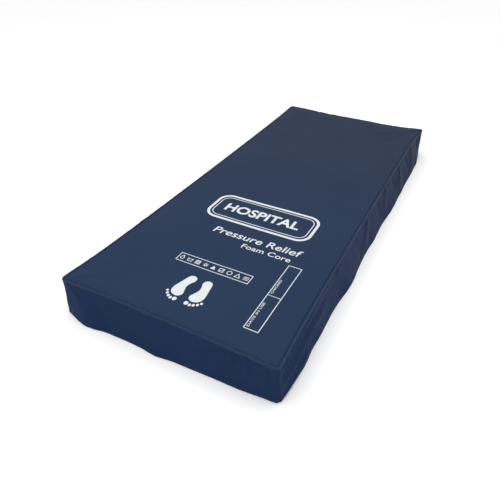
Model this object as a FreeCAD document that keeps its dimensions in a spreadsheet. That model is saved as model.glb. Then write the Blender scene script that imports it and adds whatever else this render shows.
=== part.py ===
import FreeCAD, Part
import math
import os
import Sketcher

# Pressure relief mattress for a hospital bed: a foam U-core that carries a castellated foam insert
# on a pair of glide sheets, inside a two-part fabric cover that zips together behind hanging flaps.
#
# Frame: origin on the floor under the middle of the mattress, +X across it, +Y towards the head
# end, +Z up. All sizes are in millimetres.

doc = FreeCAD.newDocument("pressure_relief_mattress")

# ---------------------------------------------------------------- driving dimensions

dims = doc.addObject("Spreadsheet::Sheet", "dims")
DRIVING_DIMENSIONS = {
    # the whole mattress
    "mattress_length": 1970,
    "mattress_width": 850,
    "mattress_height": 152,
    # cover fabric and its seams
    "fabric": 0.8,
    "binding_depth": 8,
    "seam_tape_width": 10,
    "seam_tape_thickness": 0.4,
    "label_width": 60,
    "label_height": 38,
    "label_thickness": 0.3,
    "label_rise": 20.4,
    # flaps that hide the zip
    "flap_line": 62,
    "flap_top_gap": 0.2,
    "flap_end_gap": 0.5,
    "hem_height": 3,
    "hem_tuck": 15,
    # zip
    "zip_line": 45,
    "zip_inset": 7,
    "tray_corner_radius": 25,
    "tape_thickness": 0.6,
    "tape_lap": 8,
    "tape_width": 14,
    "coil_thickness": 2.4,
    "coil_width": 2.3,
    "coil_gap": 1,
    "zip_park": 55,
    "coil_start": 72,
    "stop_length": 3,
    "stop_height": 2,
    "stop_place": 41,
    # zip slider and pull
    "slider_length": 12,
    "slider_height": 10,
    "slider_corner": 2.5,
    "slider_plate": 1.4,
    "slider_clearance": 0.3,
    "slider_web": 0.5,
    "bridge_length": 8,
    "bridge_width": 2.5,
    "bridge_rise": 2.3,
    "bridge_wall": 0.7,
    "pull_length": 25,
    "pull_width": 7,
    "pull_thickness": 1,
    "pull_window": 5.5,
    "pull_side_clearance": 0.5,
    # foam
    "foam_inset": 12,
    "core_thickness": 60,
    "core_side_width": 80,
    "insert_side_gap": 1,
    "insert_travel": 20,
    "glide_sheet": 0.5,
    "glide_gap": 0.3,
    "glide_sheet_margin": 5,
    "foam_to_cover_gap": 0.3,
    "cut_width": 4,
    "cut_depth": 60,
    "cuts_down_length": 23,
    "cuts_across_width": 7,
}
for row, (alias, size) in enumerate(DRIVING_DIMENSIONS.items(), start=1):
    dims.set(f"A{row}", alias)
    dims.set(f"B{row}", str(size))
    dims.setAlias(f"B{row}", alias)
doc.recompute()


def sheet(expression):
    """An expression in which each driving dimension is read from the sheet."""
    words = "".join(c if c.isalnum() or c == "_" else f" {c} " for c in expression).split()
    return " ".join(f"dims.{word}" if word in DRIVING_DIMENSIONS else word for word in words)


def value(expression):
    """The number that an expression stands for."""
    return float(dims.evalExpression(sheet(expression).replace("dims.", "")))


# ---------------------------------------------------------------- derived places

HALF_WIDTH = "(mattress_width / 2)"
HALF_LENGTH = "(mattress_length / 2)"
INNER_HALF_WIDTH = f"({HALF_WIDTH} - fabric)"
INNER_HALF_LENGTH = f"({HALF_LENGTH} - fabric)"
PANEL_UNDERSIDE = "(mattress_height - fabric)"
BINDING_BOTTOM = f"({PANEL_UNDERSIDE} - binding_depth)"

# The zip's tapes stand in one plane, which runs round the mattress inside the flaps.
TAPE_HALF_WIDTH = f"({HALF_WIDTH} - zip_inset)"
TAPE_HALF_LENGTH = f"({HALF_LENGTH} - zip_inset)"
LOWER_COIL_TOP = "(zip_line - coil_gap / 2)"
LOWER_COIL_BOTTOM = f"({LOWER_COIL_TOP} - coil_width)"
UPPER_COIL_BOTTOM = "(zip_line + coil_gap / 2)"
UPPER_COIL_TOP = f"({UPPER_COIL_BOTTOM} + coil_width)"
TRAY_WALL_TOP = f"({LOWER_COIL_BOTTOM} - tape_width + tape_lap)"
TAPE_LEDGE_BOTTOM = "(flap_line + flap_top_gap)"
TAPE_LEDGE_TOP = f"({TAPE_LEDGE_BOTTOM} + tape_thickness)"

# The tray's wall stands against the inner face of the lower tape.
TRAY_WALL_OUTSET = "(0 - tape_thickness / 2)"
TRAY_WALL_MIDDLE = "(0 - tape_thickness / 2 - fabric / 2)"

FOAM_HALF_WIDTH = f"({HALF_WIDTH} - foam_inset)"
FOAM_HALF_LENGTH = f"({HALF_LENGTH} - foam_inset)"
FOAM_CORNER = "(tray_corner_radius + zip_inset - foam_inset)"
CORE_TOP = "(fabric + core_thickness)"
FOAM_TOP = f"({PANEL_UNDERSIDE} - foam_to_cover_gap)"
LOWER_GLIDE_TOP = f"({CORE_TOP} + glide_sheet)"
UPPER_GLIDE_BOTTOM = f"({LOWER_GLIDE_TOP} + glide_gap)"
INSERT_BOTTOM = f"({UPPER_GLIDE_BOTTOM} + glide_sheet)"
INSERT_HALF_WIDTH = f"({FOAM_HALF_WIDTH} - core_side_width - insert_side_gap)"
INSERT_HALF_LENGTH = f"({FOAM_HALF_LENGTH} - insert_travel)"

# Each side of the mattress: the turn that brings the foot side's drawing there, how far out the
# side's outer face is, and half the length of its panel. The long sides run the full length, and
# the foot and head fit between them.
SIDES = {
    "foot": (0, HALF_LENGTH, INNER_HALF_WIDTH),
    "right": (90, HALF_WIDTH, HALF_LENGTH),
    "head": (180, HALF_LENGTH, INNER_HALF_WIDTH),
    "left": (270, HALF_WIDTH, HALF_LENGTH),
}
OUTWARD = {"foot": (0, -1), "right": (1, 0), "head": (0, 1), "left": (-1, 0)}

ORIGIN_POINT = (-1, 1)
VERTICAL = FreeCAD.Vector(0, 0, 1)
LEAST_SHARE_CUT = 0.02


# ---------------------------------------------------------------- drawing helpers


def bind(item, **expressions):
    """Binds properties of a document object to the sheet; __ in a keyword stands for a dot."""
    for name, expression in expressions.items():
        item.setExpression(name.replace("__", "."), sheet(expression))


def make_body(name):
    body = doc.addObject("PartDesign::Body", name)
    body.Label = name
    return body


def origin_part(body, role):
    return next(item for item in body.Origin.OriginFeatures if item.Role == role)


def new_sketch(body, name, role="XY_Plane", offset="0"):
    """A sketch on one of the body's own planes, moved along its normal by offset."""
    sketch = body.newObject("Sketcher::SketchObject", name)
    sketch.AttachmentSupport = [(origin_part(body, role), "")]
    sketch.MapMode = "FlatFace"
    sketch.setExpression(".AttachmentOffset.Base.z", sheet(offset))
    return sketch


def pin(sketch, edge, end, x, y):
    """Holds one end of an edge at a place that the sheet gives."""
    for kind, expression in (("DistanceX", x), ("DistanceY", y)):
        constraint = Sketcher.Constraint(kind, *ORIGIN_POINT, edge, end, value(expression))
        index = sketch.addConstraint(constraint)
        sketch.setExpression(f"Constraints[{index}]", sheet(expression))


def outline(sketch, corners):
    """A closed outline through corners, each a pair of expressions."""
    points = [FreeCAD.Vector(value(x), value(y), 0) for x, y in corners]
    first = len(sketch.Geometry)
    for start, end in zip(points, points[1:] + points[:1]):
        sketch.addGeometry(Part.LineSegment(start, end), False)
    last = len(sketch.Geometry) - 1
    for edge in range(first, last + 1):
        following = edge + 1 if edge < last else first
        sketch.addConstraint(Sketcher.Constraint("Coincident", edge, 2, following, 1))
    for edge, (x, y) in enumerate(corners, start=first):
        pin(sketch, edge, 1, x, y)


def rectangle(sketch, left, bottom, right, top):
    outline(sketch, [(left, bottom), (right, bottom), (right, top), (left, top)])


def rounded_rectangle(sketch, half_width, half_length, radius):
    """A rectangle about the origin whose corners are arcs."""
    wide, long, turn = value(half_width), value(half_length), value(radius)
    first = len(sketch.Geometry)
    quarter = math.pi / 2
    places = ((1, -1, 3), (1, 1, 0), (-1, 1, 1), (-1, -1, 2))
    arcs = []
    for across, along, start in places:
        centre = FreeCAD.Vector(across * (wide - turn), along * (long - turn), 0)
        circle = Part.Circle(centre, VERTICAL, turn)
        arcs.append(Part.ArcOfCircle(circle, start * quarter, (start + 1) * quarter))
    for arc in arcs:
        sketch.addGeometry(arc, False)
    for arc, following in zip(arcs, arcs[1:] + arcs[:1]):
        sketch.addGeometry(Part.LineSegment(arc.EndPoint, following.StartPoint), False)
    for corner, (across, along, _) in enumerate(places):
        arc = first + corner
        line = first + len(places) + corner
        following = first + (corner + 1) % len(places)
        sketch.addConstraint(Sketcher.Constraint("Tangent", arc, 2, line, 1))
        sketch.addConstraint(Sketcher.Constraint("Tangent", line, 2, following, 1))
        pin(
            sketch,
            arc,
            3,
            f"{across} * ({half_width} - {radius})",
            f"{along} * ({half_length} - {radius})",
        )
    index = sketch.addConstraint(Sketcher.Constraint("Radius", first, turn))
    sketch.setExpression(f"Constraints[{index}]", sheet(radius))


def add_feature(kind, body, sketch, length, symmetric):
    feature = body.newObject(f"PartDesign::{kind}", f"{sketch.Name}_{kind.lower()}")
    feature.Profile = sketch
    feature.SideType = "Symmetric" if symmetric else "One side"
    bind(feature, Length=length)
    body.Tip = feature
    return feature


def pad(body, sketch, length, symmetric=False):
    return add_feature("Pad", body, sketch, length, symmetric)


def pocket(body, sketch, length, symmetric=False):
    return add_feature("Pocket", body, sketch, length, symmetric)


def make_block(name, low, high):
    """A box between two corners, each given by three expressions."""
    block = doc.addObject("Part::Box", name)
    block.Label = name
    for size, place, start, end in zip(("Length", "Width", "Height"), "xyz", low, high):
        bind(block, **{size: f"({end}) - ({start})"})
        block.setExpression(f".Placement.Base.{place}", sheet(start))
    return block


def make_slab(name, half_width, half_length, bottom, top):
    """A flat box centred on the mattress."""
    return make_block(
        name,
        (f"0 - {half_width}", f"0 - {half_length}", bottom),
        (half_width, half_length, top),
    )


def make_group(kind, name, pieces):
    group = doc.addObject(kind, name)
    group.Label = name
    if kind == "Part::Compound":
        group.Links = pieces
    elif kind == "Part::MultiFuse":
        group.Shapes = pieces
    else:
        group.Base, group.Tool = pieces
    return group


def make_band(name, wall_middle, wall, bottom, top):
    """A closed band round the mattress, whose mid-plane is wall_middle outside the tape plane."""
    body = make_body(name)
    sketch = new_sketch(body, f"{name}_ring", offset=bottom)
    for sign in ("+", "-"):
        step = f"({wall_middle} {sign} {wall} / 2)"
        rounded_rectangle(
            sketch,
            f"({TAPE_HALF_WIDTH} + {step})",
            f"({TAPE_HALF_LENGTH} + {step})",
            f"(tray_corner_radius + {step})",
        )
    pad(body, sketch, f"({top}) - ({bottom})")
    return body


def make_side_panel(name, side, bottom, top, tuck, end_gap):
    """A flat fabric panel on one side; tuck is how far each end draws in at its lower edge."""
    turn, distance, half_span = SIDES[side]
    body = make_body(name)
    sketch = new_sketch(body, f"{name}_outline", "XZ_Plane")
    upper = f"({half_span} - {end_gap})"
    lower = f"({half_span} - {end_gap} - {tuck})"
    outline(
        sketch,
        [(f"0 - {lower}", bottom), (lower, bottom), (upper, top), (f"0 - {upper}", top)],
    )
    pad(body, sketch, "fabric")
    across, along = OUTWARD[side]
    body.Placement = FreeCAD.Placement(FreeCAD.Vector(), FreeCAD.Rotation(VERTICAL, turn))
    body.setExpression(".Placement.Base.x", sheet(f"{across} * ({distance} - fabric)"))
    body.setExpression(".Placement.Base.y", sheet(f"{along} * ({distance} - fabric)"))
    return body


# ---------------------------------------------------------------- base tray of the cover


def make_base_panel():
    body = make_body("base_panel")
    sketch = new_sketch(body, "base_panel_outline")
    rounded_rectangle(
        sketch,
        f"({TAPE_HALF_WIDTH} + {TRAY_WALL_OUTSET})",
        f"({TAPE_HALF_LENGTH} + {TRAY_WALL_OUTSET})",
        f"(tray_corner_radius + {TRAY_WALL_OUTSET})",
    )
    pad(body, sketch, "fabric")
    return body


def make_base_wall():
    return make_band("base_wall", TRAY_WALL_MIDDLE, "fabric", "fabric", TRAY_WALL_TOP)


def make_lower_zip():
    tape_bottom = f"({LOWER_COIL_BOTTOM} - tape_width)"
    tape = make_band("lower_zip_tape", "0", "tape_thickness", tape_bottom, LOWER_COIL_BOTTOM)
    coil = make_band("lower_zip_coil", "0", "coil_thickness", LOWER_COIL_BOTTOM, LOWER_COIL_TOP)
    return [tape, coil]


def make_zip_stops():
    """Two stops on the lower coil, one on each side of the foot-right corner."""
    half = "coil_thickness / 2"
    stop_top = f"({LOWER_COIL_TOP} + stop_height)"
    right_stop = make_block(
        "right_stop",
        (f"{TAPE_HALF_WIDTH} - {half}", f"stop_place - {HALF_LENGTH}", LOWER_COIL_TOP),
        (f"{TAPE_HALF_WIDTH} + {half}", f"stop_place + stop_length - {HALF_LENGTH}", stop_top),
    )
    foot_stop = make_block(
        "foot_stop",
        (
            f"{HALF_WIDTH} - stop_place - stop_length",
            f"0 - {TAPE_HALF_LENGTH} - {half}",
            LOWER_COIL_TOP,
        ),
        (f"{HALF_WIDTH} - stop_place", f"{half} - {TAPE_HALF_LENGTH}", stop_top),
    )
    return make_group("Part::Compound", "zip_end_stops", [right_stop, foot_stop])


# ---------------------------------------------------------------- foam


def make_foam_block(name, bottom, top):
    """Foam with the core's outline: its rounded corners follow the zip round at an even gap."""
    body = make_body(name)
    sketch = new_sketch(body, f"{name}_outline", offset=bottom)
    rounded_rectangle(sketch, FOAM_HALF_WIDTH, FOAM_HALF_LENGTH, FOAM_CORNER)
    pad(body, sketch, f"{top} - {bottom}")
    return body


def make_u_core():
    """A base slab with a firmer wall bonded along each long side."""
    slab = make_foam_block("u_core_base", "fabric", CORE_TOP)
    full_block = make_foam_block("upper_foam_block", CORE_TOP, FOAM_TOP)
    inner = f"({FOAM_HALF_WIDTH} - core_side_width)"
    walls = []
    for name, start, end in (
        ("u_core_side_left", f"0 - {FOAM_HALF_WIDTH}", f"0 - {inner}"),
        ("u_core_side_right", inner, FOAM_HALF_WIDTH),
    ):
        band = make_block(
            f"{name}_band",
            (start, f"0 - {FOAM_HALF_LENGTH}", CORE_TOP),
            (end, FOAM_HALF_LENGTH, FOAM_TOP),
        )
        walls.append(make_group("Part::Common", name, [full_block, band]))
    return [slab, *walls]


def make_glide_sheets():
    """A pair of slippery sheets, one bonded to the core and one to the insert."""
    lower = make_slab(
        "lower_glide_sheet", INSERT_HALF_WIDTH, FOAM_HALF_LENGTH, CORE_TOP, LOWER_GLIDE_TOP
    )
    upper = make_slab(
        "upper_glide_sheet",
        f"({INSERT_HALF_WIDTH} - glide_sheet_margin)",
        f"({INSERT_HALF_LENGTH} - glide_sheet_margin)",
        UPPER_GLIDE_BOTTOM,
        INSERT_BOTTOM,
    )
    return [lower, upper]


def cut_rows(body, name, half_across, half_along, count, axis):
    """Cuts a row of parallel slots into the insert's top, evenly spaced along axis."""
    pitch = f"(2 * {half_along} / ({count} + 1))"
    start = f"({pitch} - {half_along})"
    near, far = f"({start} - cut_width / 2)", f"({start} + cut_width / 2)"
    sketch = new_sketch(body, name, offset=FOAM_TOP)
    if axis == "Y_Axis":
        rectangle(sketch, f"0 - {half_across}", near, half_across, far)
    else:
        rectangle(sketch, near, f"0 - {half_across}", far, half_across)
    slot = pocket(body, sketch, "cut_depth")
    rows = body.newObject("PartDesign::LinearPattern", f"{name}_rows")
    rows.Originals = [slot]
    rows.Direction = (origin_part(body, axis), [""])
    rows.Mode = "Extent"
    bind(rows, Length=f"{pitch} * ({count} - 1)", Occurrences=count)
    body.Tip = rows


def make_castellated_insert():
    """The foam that the patient lies on, cut from above into separate cells."""
    body = make_body("castellated_insert")
    sketch = new_sketch(body, "insert_outline", offset=INSERT_BOTTOM)
    rectangle(
        sketch,
        f"0 - {INSERT_HALF_WIDTH}",
        f"0 - {INSERT_HALF_LENGTH}",
        INSERT_HALF_WIDTH,
        INSERT_HALF_LENGTH,
    )
    pad(body, sketch, f"{FOAM_TOP} - {INSERT_BOTTOM}")
    cut_rows(body, "cuts_across", INSERT_HALF_WIDTH, INSERT_HALF_LENGTH, "cuts_down_length", "Y_Axis")
    cut_rows(body, "cuts_along", INSERT_HALF_LENGTH, INSERT_HALF_WIDTH, "cuts_across_width", "X_Axis")
    return body


# ---------------------------------------------------------------- top cover


def make_top_panel():
    return make_slab("cover_top_panel", HALF_WIDTH, HALF_LENGTH, PANEL_UNDERSIDE, "mattress_height")


def make_top_edge_binding():
    """The rolled strip that closes the seam between the top panel and the border."""
    body = make_body("top_edge_binding")
    sketch = new_sketch(body, "binding_ring", offset=BINDING_BOTTOM)
    for across, along in ((HALF_WIDTH, HALF_LENGTH), (INNER_HALF_WIDTH, INNER_HALF_LENGTH)):
        rectangle(sketch, f"0 - {across}", f"0 - {along}", across, along)
    pad(body, sketch, "binding_depth")
    return body


def make_border(side):
    return make_side_panel(f"border_{side}", side, "flap_line", BINDING_BOTTOM, "0", "0")


def make_corner_seam_tapes():
    """Four angle strips, each welded inside an upright corner seam of the border."""
    legs = []
    for across, x_place in (("left", "0 - "), ("right", "")):
        for along, y_place in (("foot", "0 - "), ("head", "")):
            x_corner = f"({x_place}{INNER_HALF_WIDTH})"
            y_corner = f"({y_place}{INNER_HALF_LENGTH})"
            x_in = "+" if x_place else "-"
            y_in = "+" if y_place else "-"
            pairs = []
            for leg, x_reach, y_reach in (
                ("side", "seam_tape_thickness", "seam_tape_width"),
                ("end", "seam_tape_width", "seam_tape_thickness"),
            ):
                x_ends = sorted((x_corner, f"({x_corner} {x_in} {x_reach})"), key=value)
                y_ends = sorted((y_corner, f"({y_corner} {y_in} {y_reach})"), key=value)
                pairs.append(
                    make_block(
                        f"{along}_{across}_{leg}_leg",
                        (x_ends[0], y_ends[0], TAPE_LEDGE_TOP),
                        (x_ends[1], y_ends[1], PANEL_UNDERSIDE),
                    )
                )
            legs.append(make_group("Part::MultiFuse", f"{along}_{across}_seam_tape", pairs))
    return make_group("Part::Compound", "corner_seam_tapes", legs)


def make_upper_zip_tape():
    """The tape hangs from a ledge that is sewn to the border along the flap line."""
    body = make_band("upper_zip_tape", "0", "tape_thickness", UPPER_COIL_TOP, TAPE_LEDGE_TOP)
    sketch = new_sketch(body, "tape_ledge", offset=TAPE_LEDGE_BOTTOM)
    rectangle(
        sketch,
        f"0 - {INNER_HALF_WIDTH}",
        f"0 - {INNER_HALF_LENGTH}",
        INNER_HALF_WIDTH,
        INNER_HALF_LENGTH,
    )
    rounded_rectangle(sketch, TAPE_HALF_WIDTH, TAPE_HALF_LENGTH, "tray_corner_radius")
    pad(body, sketch, "tape_thickness")
    return body


def make_upper_zip_coil():
    """A closed coil, left out beside the foot-right corner where both sliders park."""
    ring = make_band("upper_coil_ring", "0", "coil_thickness", UPPER_COIL_BOTTOM, UPPER_COIL_TOP)
    opening = make_block(
        "coil_opening",
        (f"{HALF_WIDTH} - coil_start", f"0 - {HALF_LENGTH}", LOWER_COIL_TOP),
        (HALF_WIDTH, f"coil_start - {HALF_LENGTH}", f"{UPPER_COIL_TOP} + coil_gap / 2"),
    )
    return make_group("Part::Cut", "upper_zip_coil", [ring, opening])


def make_care_label():
    """A blank woven label sewn to the inside of the head border, clear of the zip's tape."""
    bottom = f"({TAPE_LEDGE_TOP} + label_rise)"
    return make_block(
        "care_label",
        ("0 - label_width / 2", f"{INNER_HALF_LENGTH} - label_thickness", bottom),
        ("label_width / 2", INNER_HALF_LENGTH, f"{bottom} + label_height"),
    )


def make_flap(side):
    """The hanging part of the border, which lifts about the flap line to bare the zip."""
    end_gap = "0" if side in ("left", "right") else "flap_end_gap"
    top = "(flap_line - flap_top_gap)"
    return make_side_panel(f"flap_{side}", side, "hem_height", top, "hem_tuck", end_gap)


# ---------------------------------------------------------------- zip sliders
# A slider is drawn about its own centre in the tape plane: +X away from the mattress, Y along the
# zip and Z up.

CHANNEL_HALF = "(coil_thickness / 2 + slider_clearance)"
SLIDER_FACE = f"({CHANNEL_HALF} + slider_plate)"
TAPE_SLOT_HALF = "(tape_thickness / 2 + slider_clearance)"
CHANNEL_TOP = "(coil_gap / 2 + coil_width + slider_clearance)"
BRIDGE_UNDERSIDE = f"({SLIDER_FACE} + bridge_rise - bridge_wall)"
PULL_AXIS = f"(({SLIDER_FACE} + {BRIDGE_UNDERSIDE}) / 2)"


def place_on_zip(item, side, depth):
    """Puts an item drawn about the slider's centre where that side's slider parks."""
    if side == "right":
        turn = 0
        x, y = f"{TAPE_HALF_WIDTH} + {depth}", f"zip_park - {HALF_LENGTH}"
    else:
        turn = -90
        x, y = f"{HALF_WIDTH} - zip_park", f"0 - {TAPE_HALF_LENGTH} - {depth}"
    item.Placement = FreeCAD.Placement(FreeCAD.Vector(), FreeCAD.Rotation(VERTICAL, turn))
    item.setExpression(".Placement.Base.x", sheet(x))
    item.setExpression(".Placement.Base.y", sheet(y))
    item.setExpression(".Placement.Base.z", sheet("zip_line"))


def make_slider(side):
    """Two plates joined by a web between the coils, with a bridge for the pull outside."""
    name = f"zip_slider_{side}"
    body = make_body(name)
    plates = new_sketch(body, f"{name}_plates", "YZ_Plane")
    rounded_rectangle(plates, "slider_length / 2", "slider_height / 2", "slider_corner")
    pad(body, plates, f"2 * {SLIDER_FACE}", symmetric=True)
    channels = new_sketch(body, f"{name}_channels", "XZ_Plane")
    slots = new_sketch(body, f"{name}_tape_slots", "XZ_Plane")
    for sign in ("", "0 - "):
        inner, outer = sorted((f"{sign}slider_web / 2", f"{sign}{CHANNEL_TOP}"), key=value)
        rectangle(channels, f"0 - {CHANNEL_HALF}", inner, CHANNEL_HALF, outer)
        inner, outer = sorted((f"{sign}coil_width", f"{sign}slider_height"), key=value)
        rectangle(slots, f"0 - {TAPE_SLOT_HALF}", inner, TAPE_SLOT_HALF, outer)
    pocket(body, channels, "2 * slider_length", symmetric=True)
    pocket(body, slots, "2 * slider_length", symmetric=True)
    bridge = new_sketch(body, f"{name}_bridge", "XY_Plane")
    near, far = "(0 - bridge_length / 2)", "(bridge_length / 2)"
    root, roof = f"({SLIDER_FACE} - slider_plate / 2)", f"({SLIDER_FACE} + bridge_rise)"
    outline(
        bridge,
        [
            (root, near),
            (roof, near),
            (roof, far),
            (root, far),
            (root, f"({far} - bridge_wall)"),
            (BRIDGE_UNDERSIDE, f"({far} - bridge_wall)"),
            (BRIDGE_UNDERSIDE, f"({near} + bridge_wall)"),
            (root, f"({near} + bridge_wall)"),
        ],
    )
    pad(body, bridge, "bridge_width", symmetric=True)
    place_on_zip(body, side, "0")
    return body


def make_pull(side):
    """A tab with a window at its root; the window's end bar lies under the slider's bridge."""
    name = f"zip_pull_{side}"
    body = make_body(name)
    outer = new_sketch(body, f"{name}_outline", "YZ_Plane")
    bar_end = "(pull_thickness / 2)"
    rectangle(outer, "0 - pull_length", "0 - pull_width / 2", bar_end, "pull_width / 2")
    window_half = "(bridge_width / 2 + pull_side_clearance)"
    rectangle(
        outer,
        f"0 - pull_window - {bar_end}",
        f"0 - {window_half}",
        f"0 - {bar_end}",
        window_half,
    )
    pad(body, outer, "pull_thickness", symmetric=True)
    place_on_zip(body, side, PULL_AXIS)
    return body


# ---------------------------------------------------------------- assembly

sub_parts = [make_base_panel(), make_base_wall(), *make_lower_zip(), make_zip_stops()]
sub_parts += make_u_core()
sub_parts += make_glide_sheets()
sub_parts += [make_castellated_insert(), make_top_panel(), make_top_edge_binding()]
sub_parts += [make_corner_seam_tapes(), make_upper_zip_tape(), make_upper_zip_coil(), make_care_label()]
for side_name in SIDES:
    sub_parts += [make_border(side_name), make_flap(side_name)]
for side_name in ("right", "foot"):
    sub_parts += [make_slider(side_name), make_pull(side_name)]
doc.recompute()

for item in doc.Objects:
    if "Invalid" in item.State or "Error" in item.State:
        raise RuntimeError(f"{item.Label} did not recompute: {item.State}")
for part in sub_parts:
    if part.Shape.isNull() or not part.Shape.isValid():
        raise RuntimeError(f"{part.Label} has no valid shape")

# The slots must have taken foam away: the insert is smaller than its plain block.
insert_volume = doc.getObject("castellated_insert").Shape.Volume
plain_volume = doc.getObject("insert_outline_pad").Shape.Volume
if insert_volume > (1 - LEAST_SHARE_CUT) * plain_volume:
    raise RuntimeError("the insert's slots cut nothing")

os.makedirs("parts", exist_ok=True)
for part in sub_parts:
    part.Shape.exportStep(f"parts/{part.Label}.step")
print(f"{len(sub_parts)} sub-parts written")
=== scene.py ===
import math

import bmesh
import bpy
import numpy as np
from mathutils import Matrix, Vector
from mathutils.bvhtree import BVHTree


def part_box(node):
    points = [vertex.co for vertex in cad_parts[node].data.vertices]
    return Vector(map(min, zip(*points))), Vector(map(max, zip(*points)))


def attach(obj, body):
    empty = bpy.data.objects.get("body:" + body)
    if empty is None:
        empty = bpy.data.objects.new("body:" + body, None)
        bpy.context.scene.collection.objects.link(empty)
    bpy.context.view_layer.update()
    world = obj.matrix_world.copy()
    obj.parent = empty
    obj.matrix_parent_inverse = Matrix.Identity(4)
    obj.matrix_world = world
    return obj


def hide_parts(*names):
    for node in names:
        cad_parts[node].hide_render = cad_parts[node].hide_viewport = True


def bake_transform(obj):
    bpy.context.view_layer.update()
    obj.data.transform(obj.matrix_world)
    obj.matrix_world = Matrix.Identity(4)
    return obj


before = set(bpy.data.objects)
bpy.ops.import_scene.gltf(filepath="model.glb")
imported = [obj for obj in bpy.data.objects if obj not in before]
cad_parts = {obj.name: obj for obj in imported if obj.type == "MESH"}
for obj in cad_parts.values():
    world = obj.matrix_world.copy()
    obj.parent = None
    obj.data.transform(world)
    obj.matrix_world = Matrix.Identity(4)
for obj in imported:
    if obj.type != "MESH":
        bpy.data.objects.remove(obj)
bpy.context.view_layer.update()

# A hospital mattress in a dark blue coated cover. Everything is in metres, +X across the mattress,
# +Y towards its head end and +Z up, with the floor at zero.

# ------------------------------------------------------------------------------ sizes

HALF_WIDTH, HALF_LENGTH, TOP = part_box("cover_top_panel")[1]
FLAP_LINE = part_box("border_right")[0].z
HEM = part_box("flap_right")[0].z
BINDING_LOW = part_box("top_edge_binding")[0].z
TAPE_LOW, TAPE_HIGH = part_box("lower_zip_tape")
FOAM_LOW, FOAM_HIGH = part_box("u_core_base")
TRAY_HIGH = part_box("base_wall")[1]

FABRIC = 0.0008
TRAY_INSET = HALF_WIDTH - TAPE_HIGH.x  # how far the base tray and its zip stand inside the cover
TRAY_RADIUS = 0.025
RIM_RADIUS = 0.016  # plan corner radius of the cover at its top edge
HEM_RADIUS = 0.012  # and at its hem
ROLL_INSET = 0.0065  # how far the rolled seam reaches in over the top
SEAM_DIP = 0.0035
FINE = 0.005  # spacing of the finished cloth grid on the sides
TOP_FINE = 0.008
COARSE = 0.026  # spacing of the simulated cloth


class Side:
    """One upright side of the cover, seen from outside with `along` to the right.

    Its outline is given by even steps from corner to corner, in millimetres: how far the rim is
    drawn in and how low it sags, and how far the hem stands out.
    """

    def __init__(self, name, out, along, distance, half_span, spare, drawn, sag, swell):
        self.name = name
        self.out = np.array([*out, 0.0])
        self.along = np.array([*along, 0.0])
        self.distance = distance
        self.half_span = half_span
        self.spare = spare  # spare width in the cloth at its hem, as a share
        self.drawn, self.sag, self.swell = (np.array(line) / 1000 for line in (drawn, sag, swell))

    def shares(self, spacing):
        """Places along the side from corner to corner, as shares of its half length."""
        count = round(2 * self.half_span / spacing)
        return np.linspace(-1, 1, count + 1)

    def line(self, values, share):
        """The smooth line through even steps of values, read at each share."""
        shape = np.shape(share)
        weights = smooth_weights(np.linspace(-1, 1, len(values)), np.ravel(share))
        return (weights @ values).reshape(shape)


FOOT = Side(
    "foot", (0, -1), (1, 0), HALF_LENGTH, HALF_WIDTH, 0.006,
    (0, 4, 5, 4, 0), (0, 0, 0, 0, 0), (0, 30, 29, 26, 25, 23, 18, 13, 0),
)
RIGHT = Side(
    "right", (1, 0), (0, 1), HALF_WIDTH, HALF_LENGTH, 0.016,
    (0, 7, 10, 12, 12, 12, 11, 8, 0), (0, 1, 1, 1, 0),
    (0, 18, 18, 14, 20, 30, 24, 19, 25, 21, 31, 31, 28, 27, 29, 24, 0),
)
HEAD = Side(
    "head", (0, 1), (-1, 0), HALF_LENGTH, HALF_WIDTH, 0.012,
    (0, 12, 17, 14, 12, 11, 7, 1, 0), (0, 3, 4, 3, 3, 3, 2, 0, 0), (0, 13, 18, 12, 15, 17, 12, 14, 0),
)
LEFT = Side(
    "left", (-1, 0), (0, -1), HALF_WIDTH, HALF_LENGTH, 0.016,
    (0, 5, 8, 10, 11, 11, 10, 7, 0), (0, 1, 1, 1, 0),
    (0, 16, 22, 14, 12, 20, 24, 16, 12, 18, 24, 18, 12, 16, 22, 16, 0),
)
SIDES = [FOOT, RIGHT, HEAD, LEFT]
CORNER_SPREAD = 0.09
SOFTLY = 0.0008  # over how much a limit on the cloth's place takes hold
# How far each corner leans out of true, at the rim and at the hem: (x, y) in metres.
CORNER_LEAN = {
    "foot": ((-0.006, -0.003), (-0.003, -0.015)),  # the corner where each side starts
    "right": ((0.001, -0.001), (0.011, -0.005)),
    "head": ((0.006, 0.001), (0.007, 0.001)),
    "left": ((-0.003, 0.004), (-0.002, 0.004)),
}
# How far each side's cloth may stand out past the plain mattress.
MOST_PROUD = {"foot": 0.045, "right": 0.0325, "head": 0.04, "left": 0.0325}


# ------------------------------------------------------------------------------ the cover's form


def ease(x):
    x = np.clip(x, 0, 1)
    return x * x * (3 - 2 * x)


def smooth_weights(old, new):
    """A matrix that carries values at even places `old` to places `new` on a smooth curve."""
    step = (new - old[0]) / (old[1] - old[0])
    cell = np.clip(np.floor(step).astype(int), 0, len(old) - 2)
    part = step - cell
    basis = np.stack(
        [
            -0.5 * part + part**2 - 0.5 * part**3,
            1 - 2.5 * part**2 + 1.5 * part**3,
            0.5 * part + 2 * part**2 - 1.5 * part**3,
            -0.5 * part**2 + 0.5 * part**3,
        ]
    )
    weights = np.zeros((len(new), len(old)))
    for offset in range(4):
        column = np.clip(cell + offset - 1, 0, len(old) - 1)
        np.add.at(weights, (np.arange(len(new)), column), basis[offset])
    return weights


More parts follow.
